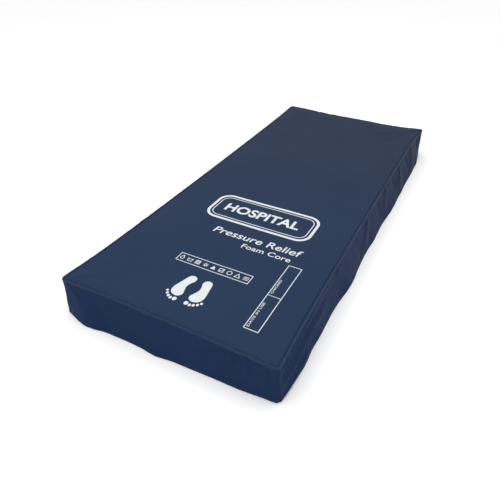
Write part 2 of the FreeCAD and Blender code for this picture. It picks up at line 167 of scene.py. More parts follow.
def outline_place(side, share, radius, outset, bow, height):
    """Points on a rounded outline round the mattress, and the way it faces there.

    share runs from -1 to 1 between the side's corners. outset moves the whole outline outwards.
    """
    radius = np.maximum(radius + outset, 0.001)
    straight = side.half_span + outset - radius
    travel = np.abs(share) * (straight + radius * math.pi / 4)
    turn = np.clip((travel - straight) / radius, 0, math.pi / 4)
    along = np.sign(share) * (np.minimum(travel, straight) + radius * np.sin(turn))
    reach = side.distance + outset - radius * (1 - np.cos(turn)) + bow
    place = along[..., None] * side.along + reach[..., None] * side.out
    place[..., 2] = height
    facing = np.cos(turn)[..., None] * side.out
    facing = facing + (np.sign(share) * np.sin(turn))[..., None] * side.along
    return place, facing


def cover_bow(side, share, drop):
    """How far a side is drawn in at its rim, or stands out at its hem, between its corners."""
    swell = side.line(side.swell, share) * drop**1.4
    return swell - side.line(side.drawn, share) * (1 - drop) ** 1.5


def corner_lean(side, share, drop):
    """How far the cover leans out of true near each corner."""
    following = SIDES[(SIDES.index(side) + 1) % len(SIDES)]
    from_corner = (1 - np.abs(share)) * side.half_span
    near = np.exp(-((from_corner / CORNER_SPREAD) ** 2))[..., None]
    lean = np.zeros((*np.shape(share), 3))
    for corner, here in ((side, share < 0), (following, share >= 0)):
        rim, hem = (np.array([*shift, 0.0]) for shift in CORNER_LEAN[corner.name])
        mixed = rim + (hem - rim) * ease(drop)[..., None]
        lean = lean + np.where(here[..., None], mixed, 0.0)
    return lean * near


def cover_place(side, share, drop, outset=0.0):
    """Points of the cover's sides, and the way it faces there: drop is 0 at the rim, 1 at the hem."""
    share, drop = np.broadcast_arrays(np.asarray(share, float), np.asarray(drop, float))
    radius = RIM_RADIUS + (HEM_RADIUS - RIM_RADIUS) * ease(drop)
    sag = side.line(side.sag, share) * (1 - drop)
    height = BINDING_LOW + (HEM - BINDING_LOW) * drop - sag
    place, facing = outline_place(side, share, radius, outset, cover_bow(side, share, drop), height)
    return place + corner_lean(side, share, drop), facing


def drop_at(height):
    return np.clip((BINDING_LOW - height) / (BINDING_LOW - HEM), 0, 1)


def tray_place(side, share, height, outset=0.0):
    """Points of the base tray's outline, which the zip follows."""
    share, height = np.broadcast_arrays(np.asarray(share, float), np.asarray(height, float))
    radius = TRAY_RADIUS + TRAY_INSET
    return outline_place(side, share, radius, outset - TRAY_INSET, 0.0, height)[0]


def rim_curve(side, share, inset, height):
    """A line along one side's rim, inset from the outline, at one height."""
    line = cover_place(side, share, 0.0, -inset)[0]
    line[..., 2] = height - side.line(side.sag, share)
    return line


def top_place(across, down, inset=ROLL_INSET):
    """The top panel, stretched evenly between the four rim lines."""
    edge_height = TOP - SEAM_DIP
    foot = rim_curve(FOOT, across, inset, edge_height)[:, None]
    head = rim_curve(HEAD, -across, inset, edge_height)[:, None]
    right = rim_curve(RIGHT, down, inset, edge_height)[None]
    left = rim_curve(LEFT, -down, inset, edge_height)[None]
    to_right, to_head = ((1 + across) / 2)[:, None, None], ((1 + down) / 2)[None, :, None]
    corners = (1 - to_right) * ((1 - to_head) * left[:, :1] + to_head * left[:, -1:])
    corners = corners + to_right * ((1 - to_head) * right[:, :1] + to_head * right[:, -1:])
    place = (1 - to_head) * foot + to_head * head + (1 - to_right) * left + to_right * right
    place = place - corners
    from_side = (1 - np.abs(across))[:, None] * HALF_WIDTH
    from_end = (1 - np.abs(down))[None] * HALF_LENGTH
    swell = (1 - np.exp(-from_side / 0.012)) * (1 - np.exp(-from_end / 0.012))
    place[..., 2] += (SEAM_DIP - 0.001) * swell
    return place


# ------------------------------------------------------------------------------ mesh helpers


def grid_faces(rows, columns, first=0, flip=False):
    index = first + np.arange(rows * columns).reshape(rows, columns)
    quads = np.stack([index[:-1, :-1], index[1:, :-1], index[1:, 1:], index[:-1, 1:]], axis=-1)
    quads = quads.reshape(-1, 4)
    return quads[:, ::-1] if flip else quads


def make_mesh(name, points, faces, uv=None, smooth=True):
    mesh = bpy.data.meshes.new(name)
    places = np.asarray(points, float).reshape(-1, 3).tolist()
    mesh.from_pydata(places, [], [list(map(int, face)) for face in faces])
    mesh.update()
    if uv is not None:
        layer = mesh.uv_layers.new(name="cloth")
        corner = np.zeros(len(mesh.loops), np.int32)
        mesh.loops.foreach_get("vertex_index", corner)
        layer.data.foreach_set("uv", np.asarray(uv, np.float32).reshape(-1, 2)[corner].ravel())
    mesh.polygons.foreach_set("use_smooth", [smooth] * len(mesh.polygons))
    piece = bpy.data.objects.new(name, mesh)
    bpy.context.scene.collection.objects.link(piece)
    return piece


def solidify(piece, thickness, offset=-1.0):
    wall = piece.modifiers.new("thickness", "SOLIDIFY")
    wall.thickness = thickness
    wall.offset = offset
    wall.use_rim = True


def ring_rows(rows_of, spacing):
    """Rows of points right round the mattress, and their cloth coordinates.

    rows_of(side, share) gives, for one side, its points as (places, points across the band, 3).
    """
    rows, uv, run = [], [], 0.0
    for side in SIDES:
        share = side.shares(spacing)[:-1]
        row = rows_of(side, share)
        step = np.linalg.norm(np.diff(row, axis=1), axis=2)
        across = np.concatenate([np.zeros((len(row), 1)), np.cumsum(step, axis=1)], axis=1)
        length = np.broadcast_to((run + (share + 1) * side.half_span)[:, None], across.shape)
        rows.append(row)
        uv.append(np.stack([length, across], axis=-1))
        run += 2 * side.half_span
    place, uv = np.concatenate(rows), np.concatenate(uv)
    return np.concatenate([place, place[:1]]), np.concatenate([uv, uv[:1] + [run, 0]])


def make_band(name, rows_of, spacing, material, flip=False):
    """A closed band of cloth right round the mattress, welded where it meets itself."""
    place, uv = ring_rows(rows_of, spacing)
    piece = make_mesh(name, place, grid_faces(*place.shape[:2], flip=flip), uv)
    join_doubles(piece)
    set_material(piece, material)
    return piece


def join_doubles(piece):
    work = bmesh.new()
    work.from_mesh(piece.data)
    bmesh.ops.remove_doubles(work, verts=work.verts, dist=1e-6)
    work.to_mesh(piece.data)
    work.free()


def make_closed(name, rings, material):
    """A closed solid from rings of points, the first and last filled in. Faces point outwards."""
    rings = np.asarray(rings, float)
    count, around = rings.shape[:2]
    index = np.arange(count * around).reshape(count, around)
    after = np.roll(index, -1, axis=1)
    walls = np.stack([index[:-1], after[:-1], after[1:], index[1:]], axis=-1).reshape(-1, 4)
    faces = walls.tolist() + [index[0][::-1].tolist(), index[-1].tolist()]
    piece = make_mesh(name, rings, faces)
    work = bmesh.new()
    work.from_mesh(piece.data)
    bmesh.ops.recalc_face_normals(work, faces=work.faces)
    work.to_mesh(piece.data)
    work.free()
    set_material(piece, material)
    return piece


def set_material(piece, material):
    piece.data.materials.clear()
    piece.data.materials.append(material)


def ripple(x, y, scale, seed, octaves=3):
    """Smooth, seeded, uneven waves between about -1 and 1."""
    draw = np.random.default_rng(seed)
    total = np.zeros(np.broadcast(x, y).shape)
    for octave in range(octaves):
        for _ in range(3):
            angle, phase = draw.uniform(0, 2 * math.pi, 2)
            rate = 2 * math.pi / scale * 2**octave * draw.uniform(0.7, 1.3)
            wave = np.sin(rate * (x * math.cos(angle) + y * math.sin(angle)) + phase)
            total = total + wave / (2.2 * 1.8**octave)
    return total


def crease(x, y, start, end, width, height):
    """A fold along a line from start to end, fading out towards its far end."""
    (x0, y0), (x1, y1) = start, end
    run = math.hypot(x1 - x0, y1 - y0)
    ux, uy = (x1 - x0) / run, (y1 - y0) / run
    along = ((x - x0) * ux + (y - y0) * uy) / run
    off = (y - y0) * ux - (x - x0) * uy
    breadth = width * (0.5 + 0.7 * np.clip(along, 0, 1.2))
    fade = ease((along + 0.08) / 0.16) * ease((1.08 - along) / 0.7)
    return height * fade * np.exp(-((off / breadth) ** 2))


# ------------------------------------------------------------------------------ cloth simulation

SPARE_TOP = 0.002  # spare size in the top panel's cloth, as a share
SPARE_MOST = 0.03
START_WAVE = 0.008  # how far the hem starts out from the form
START_WAVE_LENGTH = 0.23
CLEAR_OF_FOAM = 0.003
TOP_CLEAR_OF_FOAM = 0.002
MOST_MOVE = 0.014
COARSE_DROPS = np.linspace(0, 1, 8)
COARSE_DEPTH = 0.08  # about how deep the waves run down a side
SIM_FRAMES = 26


def coarse_grids():
    """The cover's five panels as coarse grids: (places, first places, spare, pinned)."""
    drops = COARSE_DROPS[None]
    panels = []
    for side in SIDES:
        share = side.shares(COARSE)[:, None]
        place, _ = cover_place(side, share, drops)
        spare = np.broadcast_to(side.spare * drops, place.shape[:2])
        metres, depth = share * side.half_span, drops * COARSE_DEPTH
        wave = ripple(metres, depth, START_WAVE_LENGTH, 131 + SIDES.index(side), 2)
        started = START_WAVE * (0.5 + 0.5 * wave) * drops * (1 - np.abs(share) ** 8)
        pinned = np.zeros(place.shape[:2])
        pinned[:, 0] = 1
        pinned[[0, -1]] = 1
        panels.append((place, place + started[..., None] * side.out, spare, pinned))
    across, down = FOOT.shares(COARSE), RIGHT.shares(COARSE)
    place = top_place(across, down)
    spare = np.full(place.shape[:2], SPARE_TOP)
    pinned = np.zeros(place.shape[:2])
    pinned[[0, -1]] = 1
    pinned[:, [0, -1]] = 1
    panels.append((place, place, spare, pinned))
    return panels


def foam_form():
    """What the cover lies against while it is simulated."""
    points, faces, first = [], [], 0
    for side in SIDES:
        share = side.shares(COARSE)[:, None]
        place, _ = cover_place(side, share, COARSE_DROPS[None], -CLEAR_OF_FOAM)
        points.append(place.reshape(-1, 3))
        faces.append(grid_faces(*place.shape[:2], first, flip=True))
        first += len(points[-1])
    place = top_place(FOOT.shares(COARSE), RIGHT.shares(COARSE))
    place[..., 2] -= TOP_CLEAR_OF_FOAM
    points.append(place.reshape(-1, 3))
    faces.append(grid_faces(*place.shape[:2], first))
    form = make_mesh("foam_form", np.concatenate(points), np.concatenate(faces))
    form.modifiers.new("collision", "COLLISION")
    form.collision.thickness_outer = 0.001
    form.collision.cloth_friction = 12
    return form


def evened(field):
    """Takes the sharpest unevenness out of a grid of shifts, leaving its edges."""
    inner = field.copy()
    inner[1:-1] = field[1:-1] * 0.5 + (field[:-2] + field[2:]) * 0.25
    result = inner.copy()
    result[:, 1:-1] = inner[:, 1:-1] * 0.5 + (inner[:, :-2] + inner[:, 2:]) * 0.25
    return result


def simulate_cover():
    """How far each coarse grid point moves when the cloth settles over the foam."""
    panels = coarse_grids()
    faces, first = [], 0
    for place, *_ in panels:
        faces.append(grid_faces(*place.shape[:2], first, flip=place is not panels[-1][0]))
        first += place.shape[0] * place.shape[1]
    points, starts = (
        np.concatenate([panel[part].reshape(-1, 3) for panel in panels]) for part in (0, 1)
    )
    spares, pins = (np.concatenate([panel[part].ravel() for panel in panels]) for part in (2, 3))
    cloth = make_mesh("cover_cloth", starts, np.concatenate(faces))
    group = cloth.vertex_groups.new(name="pinned")
    group.add([int(i) for i in np.flatnonzero(pins)], 1.0, "REPLACE")
    fullness = cloth.vertex_groups.new(name="fullness")
    for index, spare in enumerate(spares):
        fullness.add([index], float(spare / SPARE_MOST), "REPLACE")
    form = foam_form()
    modifier = cloth.modifiers.new("cloth", "CLOTH")
    settings = modifier.settings
    settings.quality = 6
    settings.mass = 0.01
    settings.tension_stiffness = 120
    settings.compression_stiffness = 120
    settings.shear_stiffness = 8
    settings.bending_stiffness = 0.8
    settings.air_damping = 2
    settings.vertex_group_mass = "pinned"
    settings.vertex_group_shrink = "fullness"
    settings.shrink_min = 0
    settings.shrink_max = -SPARE_MOST
    modifier.collision_settings.distance_min = 0.002
    modifier.point_cache.frame_start = 1
    modifier.point_cache.frame_end = SIM_FRAMES
    scene = bpy.context.scene
    for number in range(1, SIM_FRAMES + 1):
        scene.frame_set(number)
    settled = cloth.evaluated_get(bpy.context.evaluated_depsgraph_get())
    moved = np.zeros(len(points) * 3, np.float32)
    settled.data.vertices.foreach_get("co", moved)
    moved = moved.reshape(-1, 3) - points
    bpy.data.objects.remove(cloth)
    bpy.data.objects.remove(form)
    scene.frame_set(1)
    length = np.linalg.norm(moved, axis=1, keepdims=True)
    moved *= np.minimum(1, MOST_MOVE / np.maximum(length, 1e-9))
    shifts, first = [], 0
    for place, *_ in panels:
        count = place.shape[0] * place.shape[1]
        shifts.append(evened(moved[first : first + count].reshape(place.shape)))
        first += count
    return shifts


# ------------------------------------------------------------------------------ shader helpers


class Wire:
    """A number from a shader node. Arithmetic on it adds Math nodes."""

    def __init__(self, shop, socket):
        self.shop = shop
        self.socket = socket

    def math(self, operation, *others):
        return self.shop.node("ShaderNodeMath", {"operation": operation}, [self, *others])

    def __add__(self, other):
        return self.math("ADD", other)

    def __sub__(self, other):
        return self.math("SUBTRACT", other)

    def __rsub__(self, other):
        return (self * -1) + other

    def __mul__(self, other):
        return self.math("MULTIPLY", other)

    def __truediv__(self, other):
        return self.math("DIVIDE", other)

    __radd__ = __add__
    __rmul__ = __mul__

    def above(self, edge, softness):
        """0 below edge, 1 above it, with a soft step between."""
        return ((self - edge) / softness + 0.5).math("MAXIMUM", 0).math("MINIMUM", 1)


class Board:
    """A node tree, and the one way nodes are added to it."""

    def __init__(self, tree):
        self.tree = tree

    def node(self, kind, settings=None, inputs=(), out=0):
        """Adds a node: its settings, then its inputs by place or name. Returns one output."""
        made = self.tree.nodes.new(kind)
        for name, value in (settings or {}).items():
            setattr(made, name, value)
        pairs = inputs.items() if isinstance(inputs, dict) else enumerate(inputs)
        for key, value in pairs:
            if isinstance(value, Wire):
                self.tree.links.new(value.socket, made.inputs[key])
            else:
                made.inputs[key].default_value = value
        return Wire(self, made.outputs[out]) if made.outputs else None


class Shop(Board):
    """Makes one material, node by node."""

    def __init__(self, name):
        self.material = bpy.data.materials.new(name)
        self.material.use_nodes = True
        super().__init__(self.material.node_tree)
        self.tree.nodes.clear()

    def place(self):
        return self.node("ShaderNodeTexCoord", out="Object")

    def cloth_place(self):
        return self.node("ShaderNodeUVMap", {"uv_map": "cloth"})

    def noise(self, place, scale, detail=3, roughness=0.5):
        inputs = {"Vector": place, "Scale": scale, "Detail": detail, "Roughness": roughness}
        return self.node("ShaderNodeTexNoise", inputs=inputs)

    def parts(self, place):
        """The x and y of a place."""
        split = self.node("ShaderNodeSeparateXYZ", inputs=[place])
        return split, Wire(self, split.socket.node.outputs[1])

    def blend(self, amount, first, second):
        """A colour between two, each a colour or a wire."""
        settings = {"data_type": "RGBA"}
        made = self.node("ShaderNodeMix", settings, {"Factor": amount}, out=2)
        for socket, value in ((6, first), (7, second)):
            target = made.socket.node.inputs[socket]
            if isinstance(value, Wire):
                self.tree.links.new(value.socket, target)
            else:
                target.default_value = (*value, 1)
        return made

    def bump(self, height, distance, strength=1.0, normal=None):
        inputs = {"Height": height, "Distance": distance, "Strength": strength}
        if normal is not None:
            inputs["Normal"] = normal
        return self.node("ShaderNodeBump", inputs=inputs)

    def surface(self, **inputs):
        """The finished surface; an input's name has _ for a space."""
        named = {name.replace("_", " "): value for name, value in inputs.items()}
        shader = self.node("ShaderNodeBsdfPrincipled", inputs=named)
        self.node("ShaderNodeOutputMaterial", inputs={"Surface": shader})
        return self.material


def coated_cloth(name, deep, light, wear_and_shade, roughness, gloss, weave=0.0007):
    """Knitted fabric under a soft polyurethane coat: fine loops, faint blotches and scuffs.

    The third colour is painted shade: the share of the colour left at the head end. It darkens the
    cloth towards the head as though less light fell there.
    """
    shop = Shop(name)
    place, cloth = shop.place(), shop.cloth_place()
    _, toward_head = shop.parts(place)
    across, down = shop.parts(cloth)
    rate = 2 * math.pi / weave
    loops = (across * rate).math("SINE") * (down * rate * 0.8).math("SINE")
    grain = shop.noise(place, 900, 2)
    broad = shop.noise(place, 2.2, 3)
    cloudy = shop.noise(place, 14, 4, 0.6)
    tone = broad * 0.7 + cloudy * 0.3
    fresh = tone.above(0.5, 0.5)
    foot_end_cloth = shop.blend(fresh, deep, light)
    # Painted shade: both colours are darkened by that share for the head end, then blended in towards
    # the head.
    head_shades = [tuple(a * b for a, b in zip(shade, wear_and_shade)) for shade in (deep, light)]
    head_shaded_cloth = shop.blend(fresh, *head_shades)
    colour = shop.blend(toward_head.above(0.1, 1.8), foot_end_cloth, head_shaded_cloth)
    scuff = shop.noise(place, 38, 5, 0.7).above(0.66, 0.1)
    rough = roughness + cloudy * 0.1 - 0.05 + scuff * 0.05
    slow_height = shop.noise(place, 26, 4, 0.55)
    soft = shop.bump(slow_height, 0.0012, 0.35)
    fine = shop.bump(loops * 0.6 + grain * 0.4, 0.00012, 0.5, soft)
    return shop.surface(
        Base_Color=colour,
        Roughness=rough,
        Normal=fine,
        Specular_IOR_Level=gloss,
        Sheen_Weight=0.004,
        Sheen_Roughness=0.5,
        Sheen_Tint=(0.5, 0.62, 0.9, 1),
    )


# The top, the sides and the rolled seam are one coated cloth. Their copies differ by painted light: the
# top's is painted lighter, where more light falls.
cover_cloth = coated_cloth(
    "coated_cover_cloth",
    deep=(0.0140, 0.0290, 0.067),
    light=(0.0175, 0.0345, 0.076),
    wear_and_shade=(0.89, 0.79, 0.72),
    roughness=0.56,
    gloss=0.05,
)
# Painted shade: the sides' copy of the cloth, darker than the top's, and darker still towards the head
# end.
side_cloth_painted_shade = coated_cloth(
    "coated_side_cloth",
    deep=(0.0080, 0.0205, 0.062),
    light=(0.0110, 0.0250, 0.071),
    wear_and_shade=(0.5, 0.55, 0.55),
    roughness=0.52,
    gloss=0.03,
)
# Painted highlight: the rolled seam's copy of the cloth, lighter than the top's, as though the bead
# caught the light.
seam_cloth_painted_highlight = coated_cloth(
    "rolled_seam_cloth",
    deep=(0.0140, 0.0290, 0.074),
    light=(0.0190, 0.0360, 0.088),
    wear_and_shade=(0.8, 0.75, 0.7),
    roughness=0.5,
    gloss=0.07,
)


def foam_material(name, dark, light, roughness=0.95):
    """Cut open-cell foam: pores of two sizes, and a slightly uneven, yellowing colour."""
    shop = Shop(name)
    place = shop.place()
    voronoi = {"feature": "F1"}
    pores = shop.node("ShaderNodeTexVoronoi", voronoi, {"Vector": place, "Scale": 520})
    large = shop.node("ShaderNodeTexVoronoi", voronoi, {"Vector": place, "Scale": 170})
    tone = shop.noise(place, 5, 4, 0.6) * 0.7 + pores * 0.4
    colour = shop.blend(tone.above(0.55, 0.5), dark, light)
    rough = roughness - shop.noise(place, 60, 2) * 0.12
    cut = shop.bump(large, 0.0006, 0.35)
    return shop.surface(
        Base_Color=colour,
        Roughness=rough,
        Normal=shop.bump(pores, 0.0006, 0.8, cut),
        Specular_IOR_Level=0.2,
        Sheen_Weight=0.15,
    )


def woven_material(name, dark, light, roughness, thread, sheen=0.1, ribs=1.0):
    """Plain woven cloth, its threads running along and across the cloth's own coordinates."""
    shop = Shop(name)
    place, cloth = shop.place(), shop.cloth_place()
    across, down = shop.parts(cloth)
    rate = 2 * math.pi / thread
    warp = (across * rate).math("SINE")
    weft = (down * (rate * ribs)).math("SINE")
    over = (warp * weft) * 0.5 + 0.5
    slub = shop.noise(place, 120, 3, 0.6)
    tone = over * 0.5 + slub * 0.5
    colour = shop.blend(tone.above(0.5, 0.7), dark, light)
    rough = roughness + shop.noise(place, 18, 4) * 0.14 - 0.07
    wrinkle = shop.bump(shop.noise(place, 22, 4, 0.55), 0.0015, 0.3)
    return shop.surface(
        Base_Color=colour,
        Roughness=rough,
        Normal=shop.bump(over, 0.00015, 0.8, wrinkle),
        Sheen_Weight=sheen,
        Sheen_Roughness=0.4,
    )


def moulded_material(name, dark, light, roughness):
    """Nylon monofilament or moulded plastic, with fine flow marks and rubbed places."""
    shop = Shop(name)
    place = shop.place()
    tone = shop.noise(place, 60, 4, 0.6)
    colour = shop.blend(tone.above(0.5, 0.5), dark, light)
    rubbed = shop.noise(place, 200, 3).above(0.6, 0.2)
    return shop.surface(
        Base_Color=colour,
        Roughness=roughness - rubbed * 0.12,
        Normal=shop.bump(shop.noise(place, 900, 2), 0.00005, 0.5),
    )


def slider_material():
    """Dark enamel on die-cast zinc, worn through to metal in places, with fine scratches."""
    shop = Shop("enamelled_zinc")
    place = shop.place()
    wear_and_shade = shop.noise(place, 420, 5, 0.65).above(0.66, 0.06)
    stretch = {"Vector": place, "Scale": (1800, 120, 300)}
    across = shop.node("ShaderNodeMapping", {"vector_type": "POINT"}, stretch)
    scratches = shop.noise(across, 1.0, 3, 0.7)
    colour = shop.blend(wear_and_shade, (0.016, 0.017, 0.02), (0.42, 0.42, 0.43))
    return shop.surface(
        Base_Color=colour,
        Metallic=wear_and_shade,
        Roughness=0.42 - wear_and_shade * 0.12 + scratches * 0.1,
        Normal=shop.bump(scratches, 0.00003, 0.6),
        Coat_Weight=(1 - wear_and_shade) * 0.3,
    )


def print_material():
    """White screen-printed ink: dense, slightly chalky, thinner where the weave stands up."""
    shop = Shop("white_ink")
    place = shop.place()
    thin = shop.noise(place, 320, 4, 0.7).above(0.72, 0.14)
    mottle = shop.noise(place, 45, 3)
    chalk = shop.blend(mottle.above(0.5, 0.6), (0.56, 0.59, 0.61), (0.66, 0.69, 0.71))
    colour = shop.blend(thin * 0.35, chalk, (0.32, 0.36, 0.44))
    return shop.surface(
        Base_Color=colour,
        Roughness=0.5 + mottle * 0.2,
        Normal=shop.bump(shop.noise(place, 1400, 2), 0.00006, 0.5),
        Specular_IOR_Level=0.3,
    )


def label_material():
    """A woven white label with plain grey rules across it."""
    shop = Shop("woven_label")
    cloth = shop.cloth_place()
    across, down = shop.parts(cloth)
    rate = 2 * math.pi / 0.0006
    weave = (across * rate).math("SINE") * (down * rate).math("SINE")
    rules = (down * (2 * math.pi / 0.0048)).math("SINE").above(0.72, 0.1)
    middle = 1 - across.math("ABSOLUTE").above(0.022, 0.001)
    faded = shop.noise(shop.place(), 90, 3)
    ink = rules * middle * (0.55 + faded * 0.5)
    colour = shop.blend(ink, (0.78, 0.78, 0.76), (0.09, 0.10, 0.14))
    return shop.surface(
        Base_Color=colour,
        Roughness=0.55 + faded * 0.15,
        Normal=shop.bump(weave, 0.0001, 0.7),
        Sheen_Weight=0.2,
    )


core_foam = foam_material("blue_core_foam", (0.33, 0.45, 0.55), (0.42, 0.55, 0.66))
side_foam = foam_material("firm_side_foam", (0.52, 0.56, 0.61), (0.62, 0.66, 0.70))
insert_foam = foam_material("cream_insert_foam", (0.72, 0.69, 0.58), (0.82, 0.80, 0.72))
glide_cloth = woven_material(
    "glide_cloth", (0.66, 0.70, 0.74), (0.78, 0.81, 0.84), 0.36, 0.0012, sheen=0.3
)
base_cloth = woven_material("base_cloth", (0.013, 0.016, 0.028), (0.024, 0.029, 0.045), 0.72, 0.0016)
zip_cloth = woven_material(
    "zip_tape_cloth", (0.009, 0.011, 0.019), (0.018, 0.021, 0.034), 0.8, 0.001, ribs=0.5
)
tape_cloth = woven_material("seam_tape_cloth", (0.016, 0.025, 0.055), (0.024, 0.036, 0.07), 0.7, 0.001)
coil_nylon = moulded_material("coil_nylon", (0.016, 0.016, 0.020), (0.030, 0.030, 0.036), 0.42)
thread = moulded_material("navy_thread", (0.016, 0.028, 0.070), (0.035, 0.055, 0.115), 0.62)
enamel = slider_material()
ink = print_material()
label_cloth = label_material()


# ------------------------------------------------------------------------------ cover pieces

TOP_CREASES = [
    # start, end, width, height
    ((0.412, 0.970), (0.150, 0.800), 0.020, 0.0022),
    ((0.415, 0.965), (0.060, 0.900), 0.018, 0.0016),
    ((0.405, 0.955), (0.270, 0.640), 0.022, -0.0016),
    ((-0.412, -0.972), (-0.280, -0.860), 0.014, 0.0020),
    ((-0.410, -0.975), (-0.150, -0.930), 0.012, 0.0014),
    ((-0.415, -0.960), (-0.360, -0.740), 0.014, -0.0012),
    ((0.412, -0.972), (0.300, -0.880), 0.014, 0.0018),
    ((0.405, -0.978), (0.210, -0.945), 0.010, -0.0012),
    ((-0.412, 0.970), (-0.200, 0.870), 0.020, 0.0016),
    ((-0.405, 0.975), (-0.330, 0.720), 0.018, 0.0012),
]

# Folds in each side's cloth: start and end as (metres along, drop), width, height.
SIDE_FOLDS = {
    "foot": [
        ((0.262, -0.02), (0.120, 0.50), 0.011, -0.0044),
        ((0.286, -0.02), (0.190, 0.72), 0.011, 0.0050),
        ((0.306, -0.02), (0.262, 0.60), 0.009, -0.0046),
        ((0.330, -0.02), (0.318, 0.80), 0.011, 0.0034),
        ((0.372, 0.02), (0.330, 0.95), 0.016, 0.0030),
        ((0.400, 0.03), (0.396, 0.95), 0.009, -0.0052),
        ((-0.405, 0.03), (-0.300, 0.90), 0.020, 0.0024),
        ((-0.250, 0.04), (-0.140, 0.95), 0.030, 0.0016),
        ((0.020, 0.05), (-0.060, 0.95), 0.040, 0.0018),
    ],
    "right": [
        ((-0.975, 0.16), (-0.560, 0.10), 0.010, 0.0050),
        ((-0.975, 0.36), (-0.520, 0.24), 0.011, -0.0060),
        ((-0.972, 0.56), (-0.560, 0.46), 0.012, 0.0064),
        ((-0.970, 0.76), (-0.620, 0.66), 0.011, -0.0056),
        ((-0.965, 0.94), (-0.740, 0.84), 0.010, 0.0040),
        ((-0.480, 0.05), (-0.330, 0.98), 0.034, 0.0050),
        ((-0.260, 0.05), (-0.190, 0.98), 0.030, -0.0046),
        ((-0.090, 0.04), (-0.160, 0.98), 0.030, 0.0052),
        ((0.060, 0.04), (0.120, 0.98), 0.032, -0.0050),
        ((0.210, 0.05), (0.150, 0.98), 0.028, 0.0052),
        ((0.330, 0.05), (0.400, 0.98), 0.030, -0.0048),
        ((0.480, 0.05), (0.430, 0.98), 0.028, 0.0054),
        ((0.600, 0.05), (0.660, 0.98), 0.026, -0.0048),
        ((0.740, 0.04), (0.700, 0.98), 0.026, 0.0050),
        ((0.860, 0.04), (0.890, 0.98), 0.022, -0.0044),
        ((0.930, 0.04), (0.925, 0.98), 0.018, 0.0040),
    ],
    "head": [
        ((-0.390, 0.04), (-0.300, 0.95), 0.024, 0.0030),
        ((-0.160, 0.04), (-0.110, 0.95), 0.034, -0.0026),
        ((0.080, 0.04), (0.020, 0.95), 0.034, 0.0028),
        ((0.300, 0.04), (0.250, 0.95), 0.028, -0.0026),
        ((0.400, 0.04), (0.395, 0.95), 0.014, 0.0030),
    ],
    "left": [
        ((-0.940, 0.05), (-0.860, 0.95), 0.026, 0.0034),
        ((-0.700, 0.05), (-0.640, 0.95), 0.036, -0.0030),
        ((-0.450, 0.05), (-0.520, 0.95), 0.036, 0.0032),
        ((-0.180, 0.05), (-0.110, 0.95), 0.040, -0.0030),
        ((0.120, 0.05), (0.060, 0.95), 0.040, 0.0032),
        ((0.400, 0.05), (0.470, 0.95), 0.036, -0.0030),
        ((0.680, 0.05), (0.620, 0.95), 0.034, 0.0034),
        ((0.900, 0.05), (0.930, 0.95), 0.020, -0.0030),
    ],
}
SIDE_HEIGHT = BINDING_LOW - HEM
HEM_DEPTH = 0.012  # cloth turned up inside the hem
HEM_RISE = 0.0007  # how far that makes the hem stand out
CORNER_SEAM_DEPTH, CORNER_SEAM_WIDTH = 0.0011, 0.003
PUCKER_SIZE, PUCKER_REACH = 0.0009, 0.02
SIDE_WAVE, TOP_WAVE = 0.0008, 0.0007  # slow unevenness of the stretched cloth
LIES_IN = 0.0042  # how far cloth may lie in from its form
LESS_BY_ZIP = 0.0034  # and how much less below the flap line
# Where each seam is gathered most: metres along its side, and over how much.
TIGHT_SPOTS = {
    "foot": (0.292, 0.036),
    "right": (-0.93, 0.05),
    "head": (0.2, 0.1),
    "left": (0.6, 0.1),
}


def seam_pucker(side, share):
    """How much the sewn seam gathers the cloth beside it, in metres."""
    metres = share * side.half_span
    spot, spread = TIGHT_SPOTS[side.name]
    tight = 0.35 + 3.6 * np.exp(-(((metres - spot) / spread) ** 2))
    corner = np.clip((1 - np.abs(share)) * side.half_span / 0.03, 0, 1)
    seed = 11 + SIDES.index(side)
    waves = ripple(metres, 0 * metres, 0.065, seed, 3)
    return PUCKER_SIZE * tight * waves * corner


def keep_clear(outward, depth):
    """Limits how far cloth lies in, so that it clears the foam, and the zip below the flap line."""
    most = LIES_IN - LESS_BY_ZIP * ease((depth - (BINDING_LOW - FLAP_LINE) + 0.02) / 0.03)
    return SOFTLY * np.logaddexp(0, (outward + most) / SOFTLY) - most


